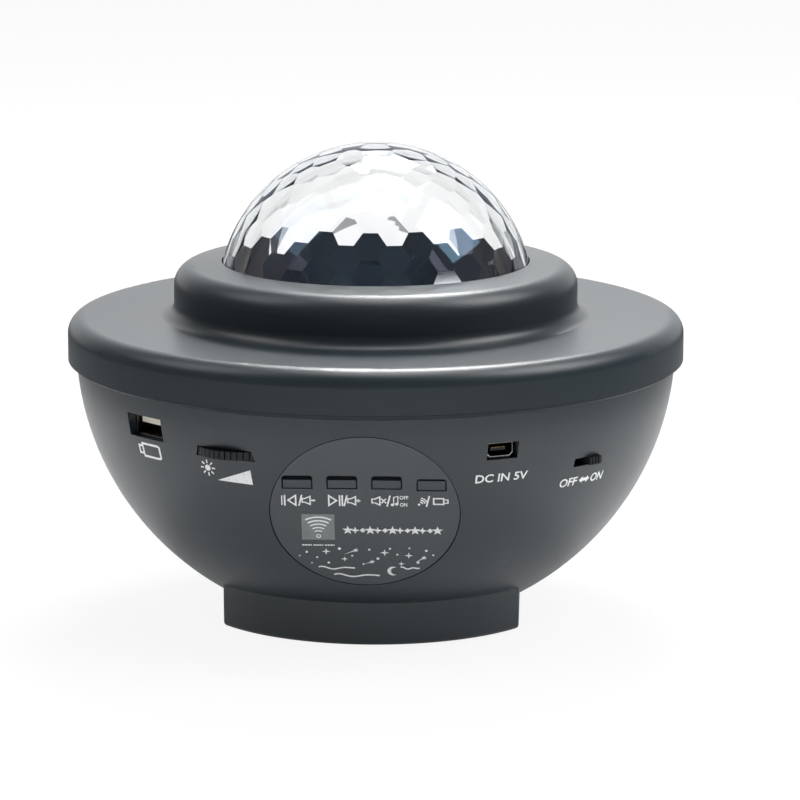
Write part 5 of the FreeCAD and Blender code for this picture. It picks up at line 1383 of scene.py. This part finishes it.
@dataclass
class SideControls:
    """The stick socket, brightness wheel, power inlet and power switch, with the marks below them."""

    stick_azimuth: float = -46.6
    stick_height: float = 60.4
    stick_front: float = 77.8
    inlet_azimuth: float = 26.5
    inlet_height: float = 58.4
    inlet_front: float = 78.04
    lip_width: float = 0.3
    lip_rise: float = 0.06
    lip_sink: float = 0.02

    def dress(self) -> None:
        """Dresses the controls' CAD nodes."""
        # The sockets' shells take nickel darkened with painted shade; only their front lips keep the
        # plating's own colour
        dress(("memory_stick_shell", "power_inlet_shell"), SHADED_NICKEL.material())
        # The tongue's colour carries painted light, lighter than the nylon's own cream
        dress(("memory_stick_tongue",), CREAM_NYLON_PAINTED_LIGHT.material())
        dress(("power_inlet_tongue",), BLACK_ABS.material())
        # The wheel and the knob share a plastic darkened with painted shade
        dress(("brightness_wheel", "power_knob"), WHEEL_ABS_PAINTED_SHADE.material())
        dress(("brightness_dial", "power_switch_case"), BLACK_ABS.material())

    def stick_mark(self) -> Marks:
        """Draws a memory stick, lying on its side.

        Returns:
            The printing.
        """
        marks = Marks()
        case = [(-2.6, -1.75), (3.7, -1.75), (4.25, -1.4), (4.25, 1.4), (3.7, 1.75), (-2.6, 1.75)]
        marks.stroke(case, 0.6, closed=True)
        marks.stroke([(-2.6, -1.05), (-4.2, -1.05), (-4.2, 1.05), (-2.6, 1.05)], 0.55)
        return marks

    def sun_mark(self) -> Marks:
        """Draws a small sun with eight rays.

        Returns:
            The printing.
        """
        marks = Marks()
        middle = (0, 0)
        marks.disc(middle, 0.85, 18)
        for ray in range(8):
            turn = math.tau * ray / 8
            marks.stroke([on_circle(middle, 1.3, turn), on_circle(middle, 2.25, turn)], 0.38)
        return marks

    def wedge_mark(self) -> Marks:
        """Draws the rising wedge of the brightness wheel.

        Returns:
            The printing.
        """
        marks = Marks()
        marks.polygon([(-5.05, -1.85), (5.4, -2.1), (5.3, 2.0)])
        return marks

    def voltage_mark(self) -> Marks:
        """Writes the inlet's generic rating.

        Returns:
            The printing.
        """
        marks = Marks()
        marks.words("DC IN 5V", (0, 0), 15.0, 2.3, 0.016)
        return marks

    def power_mark(self) -> Marks:
        """Writes off and on, with a two-way arrow between them.

        Returns:
            The printing.
        """
        marks = Marks()
        marks.words("OFF", (-5.25, 0), 6.2, 2.4, 0.016)
        marks.words("ON", (5.7, 0), 4.9, 2.4, 0.016)
        marks.polygon([(-0.2, -0.42), (1.5, -0.42), (1.5, 0.42), (-0.2, 0.42)])
        for tip, way in ((-1.4, -1), (2.7, 1)):
            marks.polygon([(tip, 0), (tip - way * 1.25, 0.95), (tip - way * 1.25, -0.95)])
        return marks

    def marks(self, shell: Shell) -> None:
        """Prints the marks on the bowl, each at its own azimuth and height.

        Args:
            shell: Gives the bowl's surface.
        """
        for name, made, azimuth, height in (
            ("stick_mark", self.stick_mark(), -46.35, 53.95),
            ("brightness_mark", self.sun_mark(), -31.4, 52.3),
            ("brightness_wedge", self.wedge_mark(), -25.85, 51.0),
            ("voltage_mark", self.voltage_mark(), 27.0, 51.0),
            ("power_mark", self.power_mark(), 47.3, 46.7),
        ):
            printed = made.printed(name, shell.face(azimuth, height), PALE_INK.material())
            finish_piece(printed, BASE)

    def socket_plane(self, azimuth: float, height: float, front: float) -> Surface:
        """Gives the flat front of a socket's shell.

        Args:
            azimuth: The socket's direction, in degrees.
            height: Its middle.
            front: How far out its front is.

        Returns:
            A function of millimetres across, up and out.
        """
        turn = math.radians(azimuth)
        outward = Vector((math.sin(turn), -math.cos(turn), 0))
        aside = Vector((math.cos(turn), math.sin(turn), 0))

        def flat(across: float, up: float, out: float) -> Vector:
            """Gives the point in metres."""
            return (aside * across + outward * (front + out) + Vector((0, 0, height + up))) * MM

        return flat

    def lips(self) -> None:
        """Adds the bright cut edge of each socket's sheet-metal shell."""
        stick, inlet = Marks(), Marks()
        half, tall = 6.4, 2.7
        stick.box((-half, -tall), (half, tall), self.lip_width)
        half, tall, slope = 3.65, 1.8, 0.9
        inlet.stroke([(-half + slope, -tall), (half - slope, -tall), (half, -tall + slope), (half, tall),
                      (-half, tall), (-half, -tall + slope)], self.lip_width, closed=True)
        stick_plane = self.socket_plane(self.stick_azimuth, self.stick_height, self.stick_front)
        inlet_plane = self.socket_plane(self.inlet_azimuth, self.inlet_height, self.inlet_front)
        for name, made, plane in (
            ("memory_stick_lip", stick, stick_plane),
            ("power_inlet_lip", inlet, inlet_plane),
        ):
            lip = made.printed(name, plane, NICKEL_SHEET.material(), self.lip_rise, self.lip_sink)
            finish_piece(lip, BASE)

    def contacts(self) -> None:
        """Lays both sockets' contacts, a little above the middle and inside the front."""
        ContactRow("inlet_contacts", 5, 0.8, 0.36, 6.0, self.inlet_azimuth, self.inlet_height + 0.5,
                   self.inlet_front - 0.9).build()
        ContactRow("stick_contacts", 4, 2.3, 1.1, 9.0, self.stick_azimuth, self.stick_height + 0.2,
                   self.stick_front - 1.6).build()

    def build(self, shell: Shell) -> None:
        """Dresses the controls, prints their marks and adds the sockets' lips and contacts.

        Args:
            shell: Gives the bowl's surface.
        """
        self.dress()
        self.marks(shell)
        self.lips()
        self.contacts()


@dataclass
class LightWorks:
    """What throws the light: the deck, lenses, gears, motor, laser and lamp."""

    def build(self) -> None:
        """Dresses the light works' CAD nodes."""
        dress(("light_deck", "optics_plate"), DECK_ABS.material())
        dress(("ripple_lens", "ripple_disc"), RIPPLED_ACRYLIC.material())
        dress(("grating_film",), GRATING_SHEET.material())
        dress(("grating_gear", "motor_pinion"), NATURAL_NYLON.material())
        dress(("gear_pins", "pin_clips", "motor_shaft"), GROUND_STEEL.material())
        dress(("motor",), MOTOR_STEEL.material())
        dress(("laser_module",), TURNED_BRASS.material())
        dress(("lamp_reflector",), BRIGHT_REFLECTOR.material())
        dress(("light_emitters",), YELLOW_PHOSPHOR.material())
        dress(("heat_sink",), EXTRUDED_ALUMINIUM.material())


@dataclass
class SoundAndControl:
    """The speaker and the circuit boards with what they carry."""

    def build(self) -> None:
        """Dresses the speaker's and the boards' CAD nodes."""
        dress(("speaker_basket",), MOTOR_STEEL.material())
        dress(("speaker_magnet",), FERRITE_MAGNET.material())
        dress(("speaker_cone",), CONE_PAPER.material())
        dress(("speaker_surround",), SOFT_RUBBER.material())
        dress(("main_board", "lamp_board"), GREEN_LACQUER.material())
        side_boards = ("stick_board", "dial_board", "inlet_board", "switch_board", "key_board")
        dress(side_boards, BLACK_LACQUER.material())
        dress(("board_components", "key_switches", "infrared_receiver"), CHIP_EPOXY.material())


class HeadForm(Enum):
    """The shape of a screw's head."""

    PAN = "pan"
    COUNTERSUNK = "countersunk"


@dataclass
class ScrewSet:
    """Identical cross-recessed screws that stand in one CAD node's places."""

    node: str
    out: Vector = field(default_factory=lambda: Vector((0, 0, 1)))  # the way that the heads face
    head_radius: float = 2.7
    head_height: float = 1.8
    shank_radius: float = 1.3
    form: HeadForm = HeadForm.PAN
    crown_share: float = 0.45  # how far the head's edge falls, as a share of its height
    crown_power: float = 2.4  # how late the fall sets in
    taper_share: float = 0.3  # how far below its middle a countersunk head starts to narrow
    recess_width: float = 0.3  # these three as shares of the head's radius or height
    recess_reach: float = 1.15
    recess_depth: float = 0.8
    sides: int = 28
    shank_sides: int = 20

    def islands(self, build: bmesh.types.BMesh) -> list[set[bmesh.types.BMVert]]:
        """Parts a mesh into its separate screws.

        Args:
            build: The merged mesh of the CAD node.

        Returns:
            The points of each screw.
        """
        unseen, found = set(build.verts), []
        while unseen:
            group, edge = set(), [next(iter(unseen))]
            while edge:
                vert = edge.pop()
                if vert in group:
                    continue
                group.add(vert)
                edge += [e.other_vert(vert) for e in vert.link_edges]
            unseen -= group
            found.append(group)
        return found

    def places(self) -> tuple[list[Vector], float]:
        """Finds the screws of the CAD node.

        Returns:
            The middle of each head's outer face, and the screws' full length, in metres.
        """
        build = bmesh.new()
        build.from_mesh(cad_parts[self.node].data)
        bmesh.ops.remove_doubles(build, verts=build.verts[:], dist=1e-6)
        spots, reach = [], 0.0
        for group in self.islands(build):
            along = [v.co.dot(self.out) for v in group]
            flat = [v.co - self.out * v.co.dot(self.out) for v in group]
            low = Vector([min(p[k] for p in flat) for k in range(3)])
            high = Vector([max(p[k] for p in flat) for k in range(3)])
            spots.append((low + high) / 2 + self.out * max(along))
            reach = max(reach, max(along) - min(along))
        build.free()
        return sorted(spots, key=tuple), reach

    def head(self, shape: NodeShape, radius: Socket, tall: Socket, shank: Socket) -> Socket:
        """Makes the head: a drum whose top falls away from the middle as a shallow bowl does.

        Args:
            shape: The node tree.
            radius: The head's radius.
            tall: The head's height.
            shank: The shank's radius, which a countersunk head narrows to.

        Returns:
            The head, with its highest point at the origin.
        """
        crown_fall = self.head_height * self.crown_share if self.form is HeadForm.PAN else 0.0
        crown = shape.length("Crown", crown_fall)
        rings = {"Vertices": self.sides, "Side Segments": 2, "Fill Segments": 5}
        drum = {**rings, "Radius": radius, "Depth": tall}
        made = shape.value("GeometryNodeMeshCylinder", drum, fill_type="TRIANGLE_FAN")
        spot = shape.value("GeometryNodeInputPosition")
        across, along, up = shape.node("ShaderNodeSeparateXYZ", {0: spot}).outputs
        level = shape.value("ShaderNodeCombineXYZ", {0: across, 1: along})
        run = shape.value("ShaderNodeVectorMath", {0: level}, "Value", operation="LENGTH")
        share = shape.value("ShaderNodeMath", {0: run, 1: radius}, operation="DIVIDE")
        late = shape.value("ShaderNodeMath", {0: share, 1: self.crown_power}, operation="POWER")
        fall = shape.value("ShaderNodeMath", {0: late, 1: crown}, operation="MULTIPLY")
        sink = shape.value("ShaderNodeMath", {0: fall, 1: -1.0}, operation="MULTIPLY")
        down = shape.value("ShaderNodeCombineXYZ", {2: sink})
        above = {0: up, 1: 0.0}
        upper = shape.value("FunctionNodeCompare", above, operation="GREATER_THAN", data_type="FLOAT")
        move = {"Geometry": made, "Selection": upper, "Offset": down}
        made = shape.value("GeometryNodeSetPosition", move)
        if self.form is HeadForm.COUNTERSUNK:
            made = self.tapered(shape, made, (radius, tall, shank))
        half = shape.value("ShaderNodeMath", {0: tall, 1: -0.5}, operation="MULTIPLY")
        lowered = {"Geometry": made, "Translation": shape.value("ShaderNodeCombineXYZ", {2: half})}
        return shape.value("GeometryNodeTransform", lowered)

    def tapered(self, shape: NodeShape, drum: Socket, sizes: tuple[Socket, Socket, Socket]) -> Socket:
        """Narrows the foot of a countersunk head to the shank.

        Args:
            shape: The node tree.
            drum: The head as a drum about the origin.
            sizes: The head's radius, its height, and the shank's radius.

        Returns:
            The tapered head.
        """
        radius, tall, shank = sizes
        slim = shape.value("ShaderNodeMath", {0: shank, 1: radius}, operation="DIVIDE")
        foot = shape.value("ShaderNodeMath", {0: tall, 1: -self.taper_share}, operation="MULTIPLY")
        spot = shape.value("GeometryNodeInputPosition")
        across, along, up = shape.node("ShaderNodeSeparateXYZ", {0: spot}).outputs
        below = {0: up, 1: foot}
        lower = shape.value("FunctionNodeCompare", below, operation="LESS_THAN", data_type="FLOAT")
        near = shape.value("ShaderNodeMath", {0: across, 1: slim}, operation="MULTIPLY")
        close = shape.value("ShaderNodeMath", {0: along, 1: slim}, operation="MULTIPLY")
        place = shape.value("ShaderNodeCombineXYZ", {0: near, 1: close, 2: up})
        move = {"Geometry": drum, "Selection": lower, "Position": place}
        return shape.value("GeometryNodeSetPosition", move)

    def recessed(self, shape: NodeShape, head: Socket) -> Socket:
        """Cuts the cross recess into a head.

        Args:
            shape: The node tree.
            head: The head.

        Returns:
            The head with its recess.
        """
        width = shape.length("Recess Width", self.head_radius * self.recess_width)
        reach = shape.length("Recess Reach", self.head_radius * self.recess_reach)
        depth = shape.length("Recess Depth", self.head_height * self.recess_depth)
        height = shape.value("ShaderNodeMath", {0: depth, 1: 2.0}, operation="MULTIPLY")
        for across, along in ((reach, width), (width, reach)):
            size = shape.value("ShaderNodeCombineXYZ", {0: across, 1: along, 2: height})
            bar = shape.value("GeometryNodeMeshCube", {"Size": size})
            both = {"Mesh 1": head, "Mesh 2": bar}
            head = shape.value("GeometryNodeMeshBoolean", both, operation="DIFFERENCE", solver="EXACT")
        return head

    def stem(self, shape: NodeShape, tall: Socket, shank: Socket, full: Socket) -> Socket:
        """Makes the plain shank that hangs under the head.

        Args:
            shape: The node tree.
            tall: The head's height.
            shank: The shank's radius.
            full: The whole screw's length.

        Returns:
            The shank.
        """
        length = shape.value("ShaderNodeMath", {0: full, 1: tall}, operation="SUBTRACT")
        rings = {"Vertices": self.shank_sides, "Side Segments": 1, "Fill Segments": 1}
        rod = shape.value("GeometryNodeMeshCylinder", {**rings, "Radius": shank, "Depth": length})
        half = shape.value("ShaderNodeMath", {0: length, 1: -0.5}, operation="MULTIPLY")
        drop = shape.value("ShaderNodeMath", {0: half, 1: tall}, operation="SUBTRACT")
        hung = {"Geometry": rod, "Translation": shape.value("ShaderNodeCombineXYZ", {2: drop})}
        return shape.value("GeometryNodeTransform", hung)

    def build(self) -> Piece:
        """Makes the screws with a node tree: a head with a cross recess, and a plain shank.

        Returns:
            The screws in one piece, which replaces the CAD node.
        """
        spots, reach = self.places()
        shape = NodeShape(self.node)
        radius = shape.length("Head Radius", self.head_radius)
        tall = shape.length("Head Height", self.head_height)
        shank = shape.length("Shank Radius", self.shank_radius)
        full = shape.named("Screw Length", "NodeSocketFloat", reach)
        head = self.recessed(shape, self.head(shape, radius, tall, shank))
        joined = shape.node("GeometryNodeJoinGeometry")
        for part in (self.stem(shape, tall, shank, full), head):
            shape.tree.links.new(part, joined.inputs[0])
        points = shape.node("GeometryNodeMeshToPoints", {"Mesh": shape.entry.outputs["Geometry"]})
        way = shape.value("GeometryNodeInputNamedAttribute", {"Name": "turn"}, data_type="FLOAT_VECTOR")
        stand = {"Points": points.outputs[0], "Instance": joined.outputs[0], "Rotation": way}
        stood = shape.node("GeometryNodeInstanceOnPoints", stand)
        turn = self.out.to_track_quat("Z", "Y").to_euler()
        name = "cross_" + self.node
        seed = seed_points(name, spots, [Vector(turn) for _ in spots])
        made = shape.run(name, seed, stood.outputs[0], ZINC_STEEL.material())
        return finish_piece(made, BASE, [self.node])


@dataclass
class Fasteners:
    """Every screw, by the node that holds it."""

    panel_lean: float = 26.4
    switch_azimuth: float = 47.0

    def build(self) -> None:
        """Makes each set of screws."""
        up, down = Vector((0, 0, 1)), Vector((0, 0, -1))
        lean, turn = math.radians(self.panel_lean), math.radians(self.switch_azimuth)
        inward = Vector((0, math.cos(lean), math.sin(lean)))
        across = Vector((-math.sin(turn), math.cos(turn), 0))
        small = {"head_radius": 1.7, "head_height": 1.2, "shank_radius": 0.9}
        ScrewSet("cover_screws", down, head_height=1.4, form=HeadForm.COUNTERSUNK).build()
        for node, way in (
            ("deck_screws", down),
            ("post_screws", up),
            ("housing_screws", down),
            ("main_board_screws", up),
            ("heat_sink_screws", down),
        ):
            ScrewSet(node, way).build()
        for node, way in (
            ("motor_screws", down),
            ("side_board_screws", up),
            ("key_board_screws", inward),
            ("switch_board_screws", across),
        ):
            ScrewSet(node, way, **small).build()


@dataclass(frozen=True)
class Lamp:
    """One soft square lamp that looks at the object."""

    name: str
    place: tuple[float, float, float]  # in metres
    size: float  # its side, in metres
    power: float  # watts
    aim_height: float = 60.0

    def build(self) -> None:
        """Hangs the lamp."""
        data = bpy.data.lights.new(self.name, "AREA")
        data.size, data.energy, data.shape = self.size, self.power, "SQUARE"
        thing = bpy.data.objects.new(self.name, data)
        bpy.context.scene.collection.objects.link(thing)
        thing.location = self.place
        way = Vector((0, 0, self.aim_height * MM)) - Vector(self.place)
        thing.rotation_euler = way.to_track_quat("-Z", "Y").to_euler()


@dataclass
class Studio:
    """The floor, the white surround, the lamps and the camera."""

    azimuth: float = 2.3
    distance: float = 1200.0
    height: float = 300.65
    tilt: float = 11.48
    lens: float = 200.9
    shift: float = 0.0303
    floor_size: float = 2200.0  # half of its side
    floor_dark: str = "#efefef"
    floor_light: str = "#f4f4f4"
    pool_radius: float = 280.0  # how far the lit floor reaches
    dark_radius: float = 520.0
    pool_squeeze: float = 1.6  # how much narrower the pool is across than along
    far_floor: float = 0.15  # the floor's brightness past the pool of light
    seen_share: float = 0.9  # how much of the floor is plain white where it is seen
    glossy_share: float = 0.35
    surround_front: float = 0.16  # the world's strength on the camera's side
    surround_back: float = 1.2  # and behind the object
    dim_way: float = 0.5  # how far back a direction points where the world starts to brighten
    bright_way: float = 0.98  # and where it is brightest
    sensor: float = 36.0

    def camera(self) -> None:
        """Puts the camera where the photograph was taken from."""
        data = bpy.data.cameras.new("photograph_camera")
        data.lens, data.sensor_width, data.shift_x = self.lens, self.sensor, self.shift
        data.clip_start, data.clip_end = 0.05, 30.0
        thing = bpy.data.objects.new("photograph_camera", data)
        bpy.context.scene.collection.objects.link(thing)
        turn = math.radians(self.azimuth)
        place = Vector((self.distance * math.sin(turn), -self.distance * math.cos(turn), self.height))
        thing.location = place * MM
        thing.rotation_euler = (math.radians(90 - self.tilt), 0, turn)
        bpy.context.scene.camera = thing

    def dimming(self, tree: Tree, place: Socket) -> Socket:
        """Measures how much dimmer the floor is past its oval pool of light.

        Args:
            tree: The floor's node tree.
            place: The coordinates on the floor, in metres.

        Returns:
            Nothing in the pool, rising to what the far floor lacks.
        """
        squeeze = {0: place, 1: (self.pool_squeeze, 1.0, 0.0)}
        oval = add_node(tree, "ShaderNodeVectorMath", squeeze, operation="MULTIPLY").outputs["Vector"]
        away = add_node(tree, "ShaderNodeVectorMath", {0: oval}, operation="LENGTH").outputs["Value"]
        ends = {"Value": away, "From Min": self.pool_radius * MM, "From Max": self.dark_radius * MM,
                "To Min": 0.0, "To Max": 1 - self.far_floor}
        return add_node(tree, "ShaderNodeMapRange", ends, interpolation_type="SMOOTHSTEP").outputs["Result"]

    def floor_material(self) -> Material:
        """Makes the floor's paint, which shows white, keeps a faint shadow and is clear from below.

        A gloss sees the floor as it is lit: bright near the object, shaded under it, and dim past the pool of
        light. A refracted ray counts as glossy too, and sees the floor as the camera does.

        Returns:
            The material.
        """
        material = bpy.data.materials.new("white_painted_floor")
        material.use_nodes = True
        tree = material.node_tree
        tree.nodes.clear()
        place = add_node(tree, "ShaderNodeTexCoord").outputs["Object"]
        drift = add_node(tree, "ShaderNodeTexNoise", {"Vector": place, "Scale": 6.0}).outputs["Fac"]
        tone = add_node(tree, "ShaderNodeValToRGB", {"Fac": drift})
        dark, light = tone.color_ramp.elements
        dark.color, light.color = linear(self.floor_dark), linear(self.floor_light)
        path = add_node(tree, "ShaderNodeLightPath").outputs
        rays = {0: path["Is Glossy Ray"], 1: path["Is Transmission Ray"]}
        gloss = add_node(tree, "ShaderNodeMath", rays, operation="SUBTRACT", use_clamp=True).outputs[0]
        lack = {0: gloss, 1: self.dimming(tree, place)}
        lost = add_node(tree, "ShaderNodeMath", lack, operation="MULTIPLY").outputs[0]
        kept = add_node(tree, "ShaderNodeMath", {0: 1.0, 1: lost}, operation="SUBTRACT").outputs[0]
        lit = {0: tone.outputs["Color"], "Scale": kept}
        colour = add_node(tree, "ShaderNodeVectorMath", lit, operation="SCALE").outputs["Vector"]
        paint = add_node(tree, "ShaderNodeBsdfDiffuse", {"Color": colour})
        bright = add_node(tree, "ShaderNodeEmission", {"Color": WHITE, "Strength": kept})
        straight = {0: path["Is Camera Ray"], 1: path["Is Transmission Ray"]}
        seen = add_node(tree, "ShaderNodeMath", straight, operation="MAXIMUM").outputs[0]
        mirrored = {0: gloss, 1: self.glossy_share}
        glossy = add_node(tree, "ShaderNodeMath", mirrored, operation="MULTIPLY").outputs[0]
        parts = {0: seen, 1: self.seen_share, 2: glossy}
        weight = add_node(tree, "ShaderNodeMath", parts, operation="MULTIPLY_ADD").outputs[0]
        coats = {0: weight, 1: paint.outputs[0], 2: bright.outputs[0]}
        mixed = add_node(tree, "ShaderNodeMixShader", coats)
        below = add_node(tree, "ShaderNodeNewGeometry").outputs["Backfacing"]
        clear = add_node(tree, "ShaderNodeBsdfTransparent")
        faces = {0: below, 1: mixed.outputs[0], 2: clear.outputs[0]}
        one_sided = add_node(tree, "ShaderNodeMixShader", faces)
        add_node(tree, "ShaderNodeOutputMaterial", {"Surface": one_sided.outputs[0]})
        return material

    def floor(self) -> None:
        """Lays the pale floor."""
        build = bmesh.new()
        bmesh.ops.create_grid(build, x_segments=24, y_segments=24, size=self.floor_size * MM)
        object_from("studio_floor", build, self.floor_material())

    def surround(self) -> None:
        """Makes the world: white where it is seen, brighter behind the object than on the camera's side."""
        world = bpy.data.worlds.new("white_surround")
        bpy.context.scene.world = world
        world.use_nodes = True
        tree = world.node_tree
        tree.nodes.clear()
        way = add_node(tree, "ShaderNodeTexCoord").outputs["Generated"]
        along = add_node(tree, "ShaderNodeSeparateXYZ", {0: way}).outputs[1]
        ends = {"Value": along, "From Min": self.dim_way, "From Max": self.bright_way,
                "To Min": self.surround_front, "To Max": self.surround_back}
        depth = add_node(tree, "ShaderNodeMapRange", ends, interpolation_type="SMOOTHSTEP").outputs["Result"]
        path = add_node(tree, "ShaderNodeLightPath").outputs
        straight = {0: path["Is Camera Ray"], 1: path["Is Transmission Ray"]}
        through = add_node(tree, "ShaderNodeMath", straight, operation="MAXIMUM").outputs[0]
        white = add_node(tree, "ShaderNodeBackground", {"Color": WHITE, "Strength": 1.0})
        studio = add_node(tree, "ShaderNodeBackground", {"Color": WHITE, "Strength": depth})
        sides = {0: through, 1: studio.outputs[0], 2: white.outputs[0]}
        mixed = add_node(tree, "ShaderNodeMixShader", sides)
        add_node(tree, "ShaderNodeOutputWorld", {"Surface": mixed.outputs[0]})

    def build(self) -> None:
        """Sets up the studio."""
        bpy.context.scene.view_settings.view_transform = "Standard"
        self.camera()
        self.floor()
        self.surround()
        for lamp in (
            Lamp("left_softbox", (-1.3, -0.1, 1.5), 1.1, 8.0),
            Lamp("right_softbox", (1.4, -0.1, 1.5), 1.2, 25.0),
            Lamp("top_softbox", (0.1, 0.1, 1.8), 1.0, 12.0),
            Lamp("rear_softbox", (0.05, 0.55, 0.8), 0.3, 8.0),
        ):
            lamp.build()


def main() -> None:
    """Builds every sub-assembly in order."""
    logging.basicConfig(level=logging.INFO, format="%(name)s %(message)s")
    Studio().build()
    shell = Shell()
    shell.dress()
    FacetedDome().build()
    FrontPanel().build()
    SideControls().build(shell)
    LightWorks().build()
    SoundAndControl().build()
    Fasteners().build()


if __name__ == "__main__":
    main()
